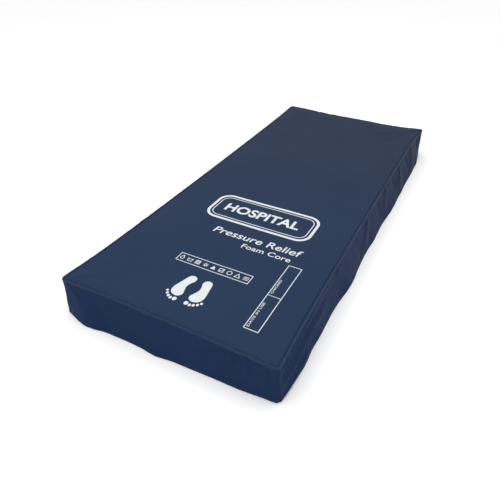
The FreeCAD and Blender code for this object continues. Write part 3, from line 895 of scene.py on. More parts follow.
def side_surface(side, shift):
    """One side's finished cloth as a grid of points, with its cloth coordinates."""
    share = side.shares(FINE)
    count = round(SIDE_HEIGHT / FINE)
    drop = np.linspace(0, 1, count + 1)
    place, facing = cover_place(side, share[:, None], drop[None])
    coarse = np.linspace(0, 1, shift.shape[1])
    settle = np.einsum(
        "ai,ijk,bj->abk",
        smooth_weights(side.shares(COARSE), share),
        shift,
        smooth_weights(coarse, drop),
    )
    metres = share[:, None] * side.half_span
    depth = drop[None] * SIDE_HEIGHT
    fold = np.zeros((len(share), len(drop)))
    for (x0, d0), (x1, d1), width, height in SIDE_FOLDS[side.name]:
        start, end = (x0, d0 * SIDE_HEIGHT), (x1, d1 * SIDE_HEIGHT)
        fold += crease(metres, depth, start, end, width, height)
    fold += SIDE_WAVE * ripple(metres, depth * 1.5, 0.19, 31 + SIDES.index(side), 3)
    fold += seam_pucker(side, share)[:, None] * np.exp(-depth / PUCKER_REACH)
    hem_fold = HEM_RISE * ease((depth - (SIDE_HEIGHT - HEM_DEPTH)) / 0.002)
    from_corner = (1 - np.abs(share)) * side.half_span
    corner_seam = -CORNER_SEAM_DEPTH * np.exp(-((from_corner / CORNER_SEAM_WIDTH) ** 2))[:, None]
    edge = ease(np.minimum(1 - np.abs(share), 0.02) / 0.02)[:, None]
    rim = ease(depth / 0.012)
    fold = fold * edge * (0.15 + 0.85 * rim)
    inward = np.einsum("abk,abk->ab", settle, facing)
    total = keep_clear(fold + inward, depth) + hem_fold + corner_seam
    place = place + settle + (total - inward)[..., None] * facing
    proud = place @ side.out - side.distance
    most = MOST_PROUD[side.name]
    held = proud - SOFTLY * np.logaddexp(0, (proud - most) / SOFTLY)
    place = place + (held - proud)[..., None] * side.out
    uv = np.stack(np.broadcast_arrays(metres, depth), axis=-1)
    return place, uv


def make_side(side, shift, material):
    place, uv = side_surface(side, shift)
    name = f"cover_side_{side.name}"
    piece = make_mesh(name, place, grid_faces(*place.shape[:2], flip=True), uv)
    solidify(piece, FABRIC)
    set_material(piece, material)
    return piece


def top_surface(shift):
    across, down = FOOT.shares(TOP_FINE), RIGHT.shares(TOP_FINE)
    place = top_place(across, down)
    settle = np.einsum(
        "ai,ijk,bj->abk",
        smooth_weights(FOOT.shares(COARSE), across),
        shift,
        smooth_weights(RIGHT.shares(COARSE), down),
    )
    x, y = across[:, None] * HALF_WIDTH, down[None] * HALF_LENGTH
    fold = TOP_WAVE * ripple(x, y, 0.55, 5, 3)
    for start, end, width, height in TOP_CREASES:
        fold = fold + crease(x, y, start, end, width, height)
    inside = ease((1 - np.abs(across)) * HALF_WIDTH / 0.02)[:, None]
    inside = inside * ease((1 - np.abs(down)) * HALF_LENGTH / 0.02)[None]
    place = place + settle
    place[..., 2] += fold * inside
    uv = np.stack(np.broadcast_arrays(x, y), axis=-1)
    return place, uv


def make_top(shift, material):
    place, uv = top_surface(shift)
    piece = make_mesh("cover_top", place, grid_faces(*place.shape[:2]), uv)
    solidify(piece, FABRIC)
    set_material(piece, material)
    return piece


def make_rolled_seam(material):
    """The seam allowance, rolled outwards into a soft bead round the top edge."""
    section = [
        # inset from the outline, height below the top
        (ROLL_INSET + 0.0012, SEAM_DIP + 0.0018),
        (ROLL_INSET - 0.0002, SEAM_DIP + 0.0004),
        (ROLL_INSET - 0.0011, 0.0013),
        (ROLL_INSET - 0.0026, 0.0003),
        (ROLL_INSET - 0.0043, 0.0006),
        (0.0008, 0.0018),
        (-0.0002, 0.0038),
        (-0.0009, 0.0062),
        (-0.0008, 0.0082),
        (0.0002, 0.0096),
        (0.0016, 0.0104),
    ]

    def rows_of(side, share):
        metres = share * side.half_span
        pucker = seam_pucker(side, share)
        loose = 0.0004 * ripple(metres, 0 * metres, 0.03, 71 + SIDES.index(side), 2)
        lines = []
        for inset, low in section:
            line = rim_curve(side, share, inset, TOP - low)
            bead = 1 - abs(inset - ROLL_INSET / 2) / ROLL_INSET
            line[:, 2] += (pucker * 0.5 + loose) * bead
            lines.append(line)
        return np.stack(lines, axis=1)

    return make_band("rolled_seam", rows_of, FINE, material, flip=True)


shifts = simulate_cover()
side_pieces = {}
for side, shift in zip(SIDES, shifts):
    piece = make_side(side, shift, side_cloth_painted_shade)
    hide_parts(f"border_{side.name}", f"flap_{side.name}")
    side_pieces[side.name] = piece
cover_top = make_top(shifts[-1], cover_cloth)
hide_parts("cover_top_panel")
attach(cover_top, "top_cover")
rolled_seam = make_rolled_seam(seam_cloth_painted_highlight)
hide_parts("top_edge_binding")
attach(rolled_seam, "top_cover")

for side in SIDES:
    piece = side_pieces[side.name]
    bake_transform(piece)


# ------------------------------------------------------------------------------ repeated pieces

REPEAT_INPUTS = [
    # name, socket, value
    ("Geometry", "NodeSocketGeometry", None),
    ("Shape", "NodeSocketObject", None),
    ("Pitch", "NodeSocketFloat", 0.004),
    ("Uneven", "NodeSocketFloat", 0.1),
    ("Seed", "NodeSocketInt", 1),
    ("Finish", "NodeSocketMaterial", None),
]


def make_repeat_tree(name, follow):
    """Geometry nodes that set a shape out along a path's edges, or on its points."""
    tree = bpy.data.node_groups.new(name, "GeometryNodeTree")
    for label, kind, value in REPEAT_INPUTS:
        socket = tree.interface.new_socket(label, in_out="INPUT", socket_type=kind)
        if value is not None:
            socket.default_value = value
    tree.interface.new_socket("Geometry", in_out="OUTPUT", socket_type="NodeSocketGeometry")
    plan = Board(tree)
    start = tree.nodes.new("NodeGroupInput")
    given = {output.name: Wire(plan, output) for output in start.outputs if output.name}
    shape = plan.node("GeometryNodeObjectInfo", None, {"Object": given["Shape"]}, out="Geometry")
    seed = given["Seed"]
    size = plan.node(
        "FunctionNodeRandomValue",
        {"data_type": "FLOAT"},
        {2: 1 - given["Uneven"], 3: 1 + given["Uneven"], "Seed": seed},
        out=1,
    )
    inputs = {"Instance": shape, "Scale": size}
    if follow:
        curve = plan.node("GeometryNodeMeshToCurve", None, [given["Geometry"]])
        resample = {"Curve": curve, "Length": given["Pitch"]}
        inputs["Points"] = plan.node("GeometryNodeResampleCurve", {"mode": "LENGTH"}, resample)
        tangent = plan.node("GeometryNodeInputTangent")
        turn = {"axis": "X", "pivot_axis": "Z"}
        inputs["Rotation"] = plan.node("FunctionNodeAlignRotationToVector", turn, {"Vector": tangent})
    else:
        inputs["Points"] = given["Geometry"]
    copies = plan.node("GeometryNodeInstanceOnPoints", None, inputs)
    solid = plan.node("GeometryNodeRealizeInstances", None, {"Geometry": copies})
    finished = plan.node(
        "GeometryNodeSetMaterial", None, {"Geometry": solid, "Material": given["Finish"]}
    )
    plan.node("NodeGroupOutput", None, {"Geometry": finished})
    return tree


along_path = make_repeat_tree("repeat_along_path", True)
on_points = make_repeat_tree("repeat_on_points", False)


def bead_shape(size, segments=6, rings=4):
    """A rounded bead, long in X, to be repeated. Removed once it has been used."""
    mesh = bpy.data.meshes.new("bead")
    work = bmesh.new()
    bmesh.ops.create_uvsphere(work, u_segments=segments, v_segments=rings, radius=0.5)
    for vertex in work.verts:
        long = vertex.co.z
        vertex.co = Vector((long * size[0], vertex.co.x * size[1], vertex.co.y * size[2]))
    bmesh.ops.recalc_face_normals(work, faces=work.faces)
    work.to_mesh(mesh)
    work.free()
    mesh.polygons.foreach_set("use_smooth", [True] * len(mesh.polygons))
    return link_shape(mesh)


def link_shape(mesh):
    shape = bpy.data.objects.new(mesh.name, mesh)
    bpy.context.scene.collection.objects.link(shape)
    return shape


def repeat(name, tree, points, shape, material, closed=False, pitch=0.004, uneven=0.1, seed=1):
    """Sets a shape out on points, or along the line through them, as one plain mesh."""
    points = np.asarray(points, float).reshape(-1, 3)
    mesh = bpy.data.meshes.new(name)
    edges = [(i, i + 1) for i in range(len(points) - 1)]
    if closed:
        edges.append((len(points) - 1, 0))
    mesh.from_pydata(points.tolist(), edges if tree is along_path else [], [])
    piece = bpy.data.objects.new(name, mesh)
    bpy.context.scene.collection.objects.link(piece)
    modifier = piece.modifiers.new("repeat", "NODES")
    modifier.node_group = tree
    values = {"Shape": shape, "Pitch": pitch, "Uneven": uneven, "Seed": seed, "Finish": material}
    for socket in tree.interface.items_tree:
        if socket.in_out == "INPUT" and socket.name in values:
            modifier[socket.identifier] = values[socket.name]
    graph = bpy.context.evaluated_depsgraph_get()
    finished = bpy.data.meshes.new_from_object(piece.evaluated_get(graph), depsgraph=graph)
    piece.modifiers.clear()
    piece.data = finished
    finished.name = name
    set_material(piece, material)
    bpy.data.objects.remove(shape)
    return piece


# ------------------------------------------------------------------------------ stitching

STITCH = (0.0030, 0.0007, 0.0006)  # length, width and height
STITCH_PITCH = 0.0042


def seam_stitch_line(side, share):
    line = rim_curve(side, share, ROLL_INSET + 0.0011, TOP - SEAM_DIP + 0.0003)
    line[:, 2] += 0.2 * seam_pucker(side, share)
    return line[:, None]


seam_line, _ = ring_rows(seam_stitch_line, FINE)
seam_stitches = repeat(
    "seam_stitches", along_path, seam_line[:-1], bead_shape(STITCH), thread, True, STITCH_PITCH
)
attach(seam_stitches, "top_cover")

HEM_STITCH_ROW = 2  # rows of the cloth grid above the hem
for side, shift in zip(SIDES, shifts):
    place, _ = side_surface(side, shift)
    line = place[1:-1, -1 - HEM_STITCH_ROW] + side.out * 0.0002
    name = f"hem_stitches_{side.name}"
    stitches = repeat(name, along_path, line, bead_shape(STITCH), thread, False, STITCH_PITCH)
    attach(stitches, f"flap_{side.name}")


# ------------------------------------------------------------------------------ corner tapes and label


CORNER_TAPE_WIDTH, CORNER_TAPE_THICKNESS = 0.018, 0.0005
INSIDE_CORNER = 0.0031  # from the cover's outer face in to the tape
INSIDE_HEAD = 0.0034  # and to the label
LABEL_THICKNESS = 0.0004


def make_corner_tapes():
    """Waterproof tape heat-bonded inside the four corner seams, joined as one mesh."""
    half, low, high = CORNER_TAPE_WIDTH / 2, FLAP_LINE + 0.006, BINDING_LOW - 0.004
    drops = drop_at(np.linspace(high, low, 18))
    places, faces, uv, first = [], [], [], 0
    for side, following in zip(SIDES, SIDES[1:] + SIDES[:1]):
        steps = np.linspace(-half, half, 9)
        columns = []
        for step in steps:
            near = side if step <= 0 else following
            share = (1 - abs(step) / near.half_span) * (1 if step <= 0 else -1)
            columns.append(cover_place(near, share, drops, -INSIDE_CORNER)[0])
        place = np.stack(columns)
        places.append(place.reshape(-1, 3))
        faces.append(grid_faces(*place.shape[:2], first, flip=True))
        height = place[..., 2]
        across = np.broadcast_to(steps[:, None], height.shape)
        uv.append(np.stack([across, height], -1).reshape(-1, 2))
        first += len(places[-1])
    joined = (np.concatenate(part) for part in (places, faces, uv))
    piece = make_mesh("corner_tapes", *joined)
    solidify(piece, CORNER_TAPE_THICKNESS)
    set_material(piece, tape_cloth)
    return piece


def make_label():
    """The folded care label sewn inside the head side."""
    low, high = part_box("care_label")
    half = (high.x - low.x) / 2
    across, heights = np.linspace(-half, half, 25), np.linspace(high.z, low.z, 17)
    share = across[:, None] / HEAD.half_span
    place = cover_place(HEAD, share, drop_at(heights)[None], -INSIDE_HEAD)[0]
    curl = 0.0006 * ripple(across[:, None], heights[None], 0.05, 91, 2)
    place[..., 1] += curl
    uv = np.stack(np.broadcast_arrays(across[:, None], (heights - low.z)[None]), -1)
    piece = make_mesh("label", place, grid_faces(*place.shape[:2], flip=True), uv)
    solidify(piece, LABEL_THICKNESS)
    set_material(piece, label_cloth)
    return piece, (high.x - low.x, high.z - low.z)


corner_tapes = make_corner_tapes()
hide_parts("corner_seam_tapes")
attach(corner_tapes, "top_cover")
label, label_size = make_label()
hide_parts("care_label")
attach(label, "top_cover")


# ------------------------------------------------------------------------------ base tray and zip

TRAY_EDGE = 0.008  # radius of the turn from the base cloth up into its wall
FLOOR_INSET = 0.02  # of the last ring of points under the mattress
WALL_ROWS = 7
TRAY_WAVE = 0.0005
ZIP_FINE = 0.010  # spacing of the finished grid along the tray and the zip
ZIP_TAPE_THICKNESS = 0.0006
COIL_PITCH = 0.0024
COIL_OUT = 0.0006  # from the middle of the tape
TOOTH_LENGTH, TOOTH_WIDTH = 0.0014, 0.0024
LEDGE_CLEAR = 0.009  # from the cover's outer face in to the tape's ledge


def make_tray():
    """The base cloth: a flat panel that turns up into a low wall all round."""

    def rows_of(side, share):
        heights = np.linspace(TRAY_HIGH.z, TRAY_EDGE, WALL_ROWS)
        lines = [tray_place(side, share, height) for height in heights]
        for turn in np.linspace(0, math.pi / 2, WALL_ROWS)[1:]:
            height, outset = TRAY_EDGE * (1 - math.sin(turn)), TRAY_EDGE * (math.cos(turn) - 1)
            lines.append(tray_place(side, share, height, outset))
        lines.append(tray_place(side, share, 0.0, -FLOOR_INSET))
        place = np.stack(lines, axis=1)
        wave = TRAY_WAVE * ripple(place[..., 0] + place[..., 1], place[..., 2] * 3, 0.16, 17, 2)
        wall_wave = wave[:, :WALL_ROWS] * ease(np.arange(WALL_ROWS) / 3)
        place[:, :WALL_ROWS] -= wall_wave[..., None] * side.out
        return place

    place, uv = ring_rows(rows_of, ZIP_FINE)
    faces = [list(face) for face in grid_faces(*place.shape[:2], flip=True)]
    columns = place.shape[1]
    floor_ring = [row * columns + columns - 1 for row in range(len(place) - 1)]
    faces.append(floor_ring[::-1])
    piece = make_mesh("base_tray", place, faces, uv)
    join_doubles(piece)
    wall_out(piece)
    solidify(piece, FABRIC)
    set_material(piece, base_cloth)
    return piece


def wall_out(piece):
    """Turns an open shell's faces outwards, by its first face."""
    work = bmesh.new()
    work.from_mesh(piece.data)
    work.faces.ensure_lookup_table()
    first = work.faces[0]
    centre = first.calc_center_median()
    if first.normal.dot(Vector((centre.x, centre.y, 0)).normalized()) < 0:
        bmesh.ops.reverse_faces(work, faces=work.faces)
    work.to_mesh(piece.data)
    work.free()


def lower_tape_rows(side, share):
    heights = np.linspace(TAPE_HIGH.z, TAPE_LOW.z, 4)
    return tray_place(side, share[:, None], heights[None])


def upper_tape_rows(side, share):
    low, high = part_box("upper_zip_tape")[0].z, FLAP_LINE - 0.0005
    heights = np.linspace(high - 0.001, low, 4)
    ledge = []
    for part in (1.0, 0.5, 0.15):
        inner = tray_place(side, share, high)
        outer = cover_place(side, share, drop_at(high), -LEDGE_CLEAR)[0]
        outer[:, 2] = high
        ledge.append(inner + (outer - inner) * part)
    wall = tray_place(side, share[:, None], heights[None])
    return np.concatenate([np.stack(ledge, axis=1), wall], axis=1)


def make_coil(name, node, seed):
    """One row of coil teeth, set out along its tape."""
    low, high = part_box(node)
    tooth_height = high.z - low.z
    middle = (low.z + high.z) / 2

    def coil_line(side, share):
        return tray_place(side, share, middle, COIL_OUT)[:, None]

    line, _ = ring_rows(coil_line, ZIP_FINE)
    tooth = bead_shape((TOOTH_LENGTH, TOOTH_WIDTH, tooth_height * 1.12))
    return repeat(
        name, along_path, line[:-1], tooth, coil_nylon, True, COIL_PITCH, uneven=0.05, seed=seed
    )


tray = make_tray()
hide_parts("base_panel", "base_wall")
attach(tray, "base")
zip_tape_lower = make_band("zip_tape_lower", lower_tape_rows, ZIP_FINE, zip_cloth, flip=True)
solidify(zip_tape_lower, ZIP_TAPE_THICKNESS, 1.0)
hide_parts("lower_zip_tape")
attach(zip_tape_lower, "base")
zip_tape_upper = make_band("zip_tape_upper", upper_tape_rows, ZIP_FINE, zip_cloth, flip=True)
solidify(zip_tape_upper, ZIP_TAPE_THICKNESS)
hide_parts("upper_zip_tape")
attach(zip_tape_upper, "top_cover")
for row, body, seed in (("lower", "base", 3), ("upper", "top_cover", 4)):
    coil = make_coil(f"zip_coil_{row}", f"{row}_zip_coil", seed)
    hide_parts(f"{row}_zip_coil")
    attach(coil, body)


def finish_metal(node):
    """Keeps a metal CAD piece, with its edges eased and a worn enamel finish."""
    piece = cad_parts[node]
    weld = piece.modifiers.new("weld", "WELD")
    weld.merge_threshold = 0.00001
    edges = piece.modifiers.new("eased_edges", "BEVEL")
    edges.width = 0.0005
    edges.segments = 2
    edges.limit_method = "ANGLE"
    for slot in piece.material_slots:
        slot.material = enamel


METAL_PIECES = (
    "zip_end_stops",
    "zip_slider_right",
    "zip_slider_foot",
    "zip_pull_right",
    "zip_pull_foot",
)
for node in METAL_PIECES:
    finish_metal(node)


# ------------------------------------------------------------------------------ foam

CROWN = TOP - 0.0047  # the highest the foam comes under the cover
FOAM_EDGE = 0.006  # how far the long edges are rounded off
FOAM_RADIUS = 0.02  # plan corner radius
FACE_RING = 0.03  # from an edge in to the last ring of points on a flat face
FOAM_CLEAR = 0.007  # from the cover's sides
UNDER_CLOTH = 0.0028  # from the cover's top, down to the foam
UNDER_SEAM = BINDING_LOW - 0.012  # lower foam never meets the top or its seam
FROM_SIDE_CLOTH = 0.0056
NEAR_END = 0.06
INSERT_TRAVEL = 0.020
SEAM_SAG = 0.006  # how far the rolled seam may hang below its binding line
FOAM_GAP = 0.0002  # between stacked pieces

top_grid = bmesh.new()
top_grid.from_mesh(cover_top.data)
cloth_surface = BVHTree.FromBMesh(top_grid)
top_grid.free()


def make_base_foam():
    """The firm slab that carries the rest, with its edges softened."""
    inset = HALF_WIDTH - FOAM_HIGH.x
    turns = np.linspace(0, math.pi / 2, 5)
    section = [(FOAM_EDGE + FACE_RING, FOAM_LOW.z + FOAM_GAP)]
    section += [
        (FOAM_EDGE * (1 - math.sin(t)), FOAM_LOW.z + FOAM_EDGE * (1 - math.cos(t))) for t in turns
    ]
    section += [
        (FOAM_EDGE * (1 - math.cos(t)), FOAM_HIGH.z - FOAM_EDGE * (1 - math.sin(t))) for t in turns
    ]
    section.append((FOAM_EDGE + FACE_RING, FOAM_HIGH.z - 0.0001))
    radius = FOAM_RADIUS + inset
    rings = []
    for back, height in section:
        ring = [
            outline_place(side, side.shares(0.02)[:-1], radius, -inset - back, 0.0, height)[0]
            for side in SIDES
        ]
        rings.append(np.concatenate(ring))
    return make_closed("foam_base", rings, core_foam)


def make_side_foam(name, side, node):
    """A firm side rail. Its outer face follows the cover, drawn in at the top."""
    low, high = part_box(node)
    inner, widest = sorted((abs(low.x), abs(high.x)))
    inner += 0.0004
    end = high.y
    corner = FOAM_RADIUS
    bottom, top = low.z + FOAM_GAP, CROWN
    turns = np.linspace(0, math.pi / 2, 4)
    angles = np.linspace(0, math.pi / 2, 6)
    ends = end - corner + corner * np.sin(angles)
    middle = np.linspace(-(end - corner), end - corner, 90)
    stations = np.concatenate([-ends[::-1], middle[1:-1], ends])
    rings = []
    for y in stations:
        past = max(abs(y) - (end - corner), 0)
        round_off = corner - math.sqrt(max(corner**2 - past**2, 0))
        share = y / HALF_LENGTH

        def outer(z):
            bow = float(cover_bow(side, np.array([share]), drop_at(z))[0])
            return min(HALF_WIDTH - FOAM_CLEAR + min(bow, 0.0), widest) - round_off

        ring = []
        for t in turns:
            ring.append((inner + FOAM_EDGE * (1 - math.sin(t)), bottom + FOAM_EDGE * (1 - math.cos(t))))
        ring = ring[::-1]
        for t in turns:
            z = bottom + FOAM_EDGE * (1 - math.cos(t))
            ring.append((outer(z) - FOAM_EDGE * (1 - math.sin(t)), z))
        for z in np.linspace(bottom + FOAM_EDGE, top - FOAM_EDGE, 7)[1:-1]:
            ring.append((outer(z), z))
        for t in turns:
            z = top - FOAM_EDGE * (1 - math.sin(t))
            ring.append((outer(z) - FOAM_EDGE * (1 - math.cos(t)), z))
        for t in turns:
            ring.append((inner + FOAM_EDGE * (1 - math.sin(t)), top - FOAM_EDGE * (1 - math.cos(t))))
        sign = side.out[0]
        rings.append([(sign * x, y, z) for x, z in ring])
    return make_closed(name, rings, side_foam)


def cloth_height(x, y, missing):
    """How high the top's cloth is over a place, or `missing` where none is over it."""
    hit = cloth_surface.ray_cast(Vector((x, y, TOP + 0.05)), Vector((0, 0, -1)))[0]
    return hit.z if hit else missing


def keep_under(piece, travel=0.0):
    """Presses foam down where the top's cloth dips to the seam, over all its travel."""
    past_cloth = BINDING_LOW - SEAM_SAG if travel else TOP
    for vertex in piece.data.vertices:
        if vertex.co.z > UNDER_SEAM:
            x, y, z = vertex.co
            over = [cloth_height(x, y + shift, past_cloth) for shift in (-travel, 0, travel)]
            vertex.co.z = min(z, min(over) - UNDER_CLOTH)


def keep_back(piece, side, travel):
    """Draws the end of the foam back from a side's cloth, far enough for it to travel there."""
    for vertex in piece.data.vertices:
        reach = vertex.co.y * side.out[1]
        if reach > HALF_LENGTH - NEAR_END:
            share = vertex.co.x * side.along[0] / side.half_span
            back = -FROM_SIDE_CLOTH - travel
            limit = cover_place(side, share, drop_at(vertex.co.z), back)[0] @ side.out
            vertex.co.y = min(reach, float(limit)) * side.out[1]


foam_base = make_base_foam()
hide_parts("u_core_base")
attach(foam_base, "base")
for side in (RIGHT, LEFT):
    rail = make_side_foam(f"foam_side_{side.name}", side, f"u_core_side_{side.name}")
    keep_under(rail)
    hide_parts(f"u_core_side_{side.name}")
    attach(rail, "base")

CELLS_ACROSS, CELLS_DOWN = 8, 24
CUT_WIDTH, CUT_DEPTH = 0.004, 0.060
CELL_EDGE = 0.004  # how far the edges of the cut foam are rounded off
SLAB_INSET = 0.0005  # of the slab under the cells, from its own box
GLIDE_THICKNESS = 0.0003
GLIDE_WAVE, GLIDE_EDGE_LIFT = 0.0001, 0.00008


def rounded_block(name, size, edge, segments=2, low_edge=True):
    """A block centred on the origin in X and Y with its base at zero, its edges rounded."""
    mesh = bpy.data.meshes.new(name)
    work = bmesh.new()
    bmesh.ops.create_cube(work, size=1.0)
    for vertex in work.verts:
        x, y, z = vertex.co
        vertex.co = Vector((x * size[0], y * size[1], (z + 0.5) * size[2]))
    edges = [e for e in work.edges if low_edge or sum(v.co.z for v in e.verts) > 0.001]
    bmesh.ops.bevel(work, geom=edges, offset=edge, segments=segments, profile=0.5, affect="EDGES")
    bmesh.ops.recalc_face_normals(work, faces=work.faces)
    work.to_mesh(mesh)
    work.free()
    mesh.polygons.foreach_set("use_smooth", [True] * len(mesh.polygons))
    return link_shape(mesh)


def make_insert():
    """The soft insert: a slab cut into free-standing cells from above."""
    low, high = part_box("castellated_insert")
    width, length = high.x - low.x, high.y - low.y
    pitch = width / CELLS_ACROSS, length / CELLS_DOWN
    floor = high.z - CUT_DEPTH
    root = 0.002
    cell_size = (pitch[0] - CUT_WIDTH, pitch[1] - CUT_WIDTH, CROWN - floor + root)
    cell = rounded_block("cell", cell_size, CELL_EDGE, 3, False)
    x = (np.arange(CELLS_ACROSS) - (CELLS_ACROSS - 1) / 2) * pitch[0]
    y = (np.arange(CELLS_DOWN) - (CELLS_DOWN - 1) / 2) * pitch[1]
    points = [(a, b, floor - root) for b in y for a in x]
    cells = repeat("foam_insert", on_points, points, cell, insert_foam, uneven=0.0)
    bottom = low.z + FOAM_GAP
    slab_size = (width - 2 * SLAB_INSET, length - 2 * SLAB_INSET, floor - bottom)
    slab = rounded_block("slab", slab_size, CELL_EDGE)
    work = bmesh.new()
    work.from_mesh(cells.data)
    slab.data.transform(Matrix.Translation((0, 0, bottom)))
    work.from_mesh(slab.data)
    work.to_mesh(cells.data)
    work.free()
    bpy.data.objects.remove(slab)
    cells.data.polygons.foreach_set("use_smooth", [True] * len(cells.data.polygons))
    cells.data.set_sharp_from_angle(angle=math.radians(50))
    set_material(cells, insert_foam)
    return cells


foam_insert = make_insert()
for side in (FOOT, HEAD):
    keep_back(foam_insert, side, INSERT_TRAVEL)
keep_under(foam_insert, INSERT_TRAVEL)
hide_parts("castellated_insert")
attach(foam_insert, "insert")


def make_glide_sheet(name, node):
    """One of the two slippery sheets that let the insert slide on the base foam."""
    low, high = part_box(node)
    across = np.linspace(low.x, high.x, 41)
    down = np.linspace(low.y, high.y, 117)
    x, y = np.meshgrid(across, down, indexing="ij")
    edge = np.minimum(np.minimum(x - low.x, high.x - x), np.minimum(y - low.y, high.y - y))
    z = np.full(x.shape, (low.z + high.z) / 2) + GLIDE_WAVE * ripple(x, y, 0.3, 55, 2)
    z += GLIDE_EDGE_LIFT * ease(1 - edge / 0.012)
    faces = grid_faces(*x.shape, flip=True)
    piece = make_mesh(name, np.stack([x, y, z], -1), faces, np.stack([x, y], -1))
    solidify(piece, GLIDE_THICKNESS, 0.0)
    set_material(piece, glide_cloth)
    return piece, (high.x - low.x, high.y - low.y)


for name, node, body in (
    ("glide_sheet_lower", "lower_glide_sheet", "base"),
    ("glide_sheet_upper", "upper_glide_sheet", "insert"),
):
    glide, size = make_glide_sheet(name, node)
    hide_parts(node)
    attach(glide, body)


# ------------------------------------------------------------------------------ printed marks

PRINT_LIFT = 0.0003
PRINT_GRID = 0.008
INK_THICKNESS = 0.0002
FRAME_LINE = 0.003
# How much heavier each kind of type is than the plain one, as a share of its size.
HEAVY, BOLD, MEDIUM = 0.022 * 1.3, 0.022 * 0.7, 0.022 * 0.5


class Mark:
    """A flat printed mark, gathered from outlines and then laid on the top panel."""

    def __init__(self):
        self.work = bmesh.new()

    def outline(self, points):
        """A filled closed outline."""
        vertices = [self.work.verts.new((x, y, 0)) for x, y in points]
        self.work.faces.new(vertices)

    def frame(self, outer, inner):
        """The strip between two closed outlines of as many points."""
        rows = [[self.work.verts.new((x, y, 0)) for x, y in line] for line in (outer, inner)]
        count = len(outer)
        for i in range(count):
            j = (i + 1) % count
            self.work.faces.new((rows[0][i], rows[0][j], rows[1][j], rows[1][i]))

    def bar(self, x0, y0, x1, y1):
        self.outline([(x0, y0), (x1, y0), (x1, y1), (x0, y1)])

    def stroke(self, points, width, closed=False):
        """A line of even width through points, as a run of quads."""
        points = np.asarray(points, float)
        ahead = np.roll(points, -1, axis=0) - points
        behind = points - np.roll(points, 1, axis=0)
        if not closed:
            ahead[-1], behind[0] = behind[-1], ahead[0]
        ahead /= np.linalg.norm(ahead, axis=1, keepdims=True)
        behind /= np.linalg.norm(behind, axis=1, keepdims=True)
        mean = ahead + behind
        mean /= np.linalg.norm(mean, axis=1, keepdims=True)
        across = np.stack([-mean[:, 1], mean[:, 0]], axis=1)
        reach = 0.5 * width / np.maximum((mean * ahead).sum(axis=1, keepdims=True), 0.5)
        if closed:
            self.frame(points + across * reach, points - across * reach)
            return
        left = [self.work.verts.new((*p, 0)) for p in points + across * reach]
        right = [self.work.verts.new((*p, 0)) for p in points - across * reach]
        for i in range(len(points) - 1):
            self.work.faces.new((left[i], left[i + 1], right[i + 1], right[i]))

    def words(self, text, x, y, weight, upright=True, lean=0.0):
        """Generic words, fitted between x = (from, to) and y = (from, to)."""
        line = bpy.data.curves.new("words", "FONT")
        line.body = text
        line.offset = weight
        line.shear = lean
        line.resolution_u = 4
        words = bpy.data.objects.new("words", line)
        bpy.context.scene.collection.objects.link(words)
        graph = bpy.context.evaluated_depsgraph_get()
        mesh = bpy.data.meshes.new_from_object(words.evaluated_get(graph))
        place = np.zeros(len(mesh.vertices) * 3)
        mesh.vertices.foreach_get("co", place)
        place = place.reshape(-1, 3)[:, :2]
        place = (place - place.min(axis=0)) / (place.max(axis=0) - place.min(axis=0))
        if not upright:
            place = np.stack([1 - place[:, 1], place[:, 0]], axis=1)
        place = place * [x[1] - x[0], y[1] - y[0]] + [x[0], y[0]]
        mesh.vertices.foreach_set("co", np.column_stack([place, np.zeros(len(place))]).ravel())
        self.work.from_mesh(mesh)
        bpy.data.objects.remove(words)

    def lay(self, name, surface):
        """Cuts the mark along the cloth's grid and lays it on the cloth as a thin film of ink."""
        work = self.work
        bmesh.ops.triangulate(work, faces=work.faces)
        place = np.array([vertex.co[:2] for vertex in work.verts])
        low, high = place.min(axis=0), place.max(axis=0)
        for axis in (0, 1):
            direction = Vector((1, 0, 0)) if axis == 0 else Vector((0, 1, 0))
            for at in np.arange(low[axis] + PRINT_GRID / 2, high[axis], PRINT_GRID):
                geometry = work.verts[:] + work.edges[:] + work.faces[:]
                plane = {"plane_co": direction * at, "plane_no": direction}
                bmesh.ops.bisect_plane(work, geom=geometry, **plane)
        bmesh.ops.remove_doubles(work, verts=work.verts, dist=1e-5)
        for face in work.faces:
            if face.normal.z < 0:
                face.normal_flip()
        for vertex in work.verts:
            above = Vector((vertex.co.x, vertex.co.y, TOP + 0.05))
            hit = surface.ray_cast(above, Vector((0, 0, -1)))[0]
            vertex.co.z = hit.z + PRINT_LIFT
        mesh = bpy.data.meshes.new(name)
        work.to_mesh(mesh)
        work.free()
        piece = link_shape(mesh)
        solidify(piece, INK_THICKNESS)
        set_material(piece, ink)
        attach(piece, "top_cover")
        return piece


def arc_points(centre, radius, start, stop, count):
    turns = np.radians(np.linspace(start, stop, count))
    return np.stack([centre[0] + radius * np.cos(turns), centre[1] + radius * np.sin(turns)], axis=1)


def rounded_points(x, y, corner, count=10):
    """A rounded rectangle's outline between x = (from, to) and y = (from, to)."""
    centres = ((x[1], y[1], 0), (x[0], y[1], 90), (x[0], y[0], 180), (x[1], y[0], 270))
    parts = []
    for cx, cy, start in centres:
        inward_x = corner if cx == x[0] else -corner
        inward_y = corner if cy == y[0] else -corner
        centre = (cx + inward_x, cy + inward_y)
        parts.append(arc_points(centre, corner, start, start + 90, count))
    return np.concatenate(parts)


def smooth_outline(points, count=10):
    """A closed smooth curve through a few points."""
    points = np.asarray(points, float)
    curve = []
    for i in range(len(points)):
        before, here, after, beyond = (points[(i + k) % len(points)] for k in (-1, 0, 1, 2))
        for t in np.linspace(0, 1, count, endpoint=False):
            curve.append(
                0.5 * (
                    2 * here
                    + (after - before) * t
                    + (2 * before - 5 * here + 4 * after - beyond) * t**2
                    + (3 * here - before - 3 * after + beyond) * t**3
                )
            )
    return np.array(curve)


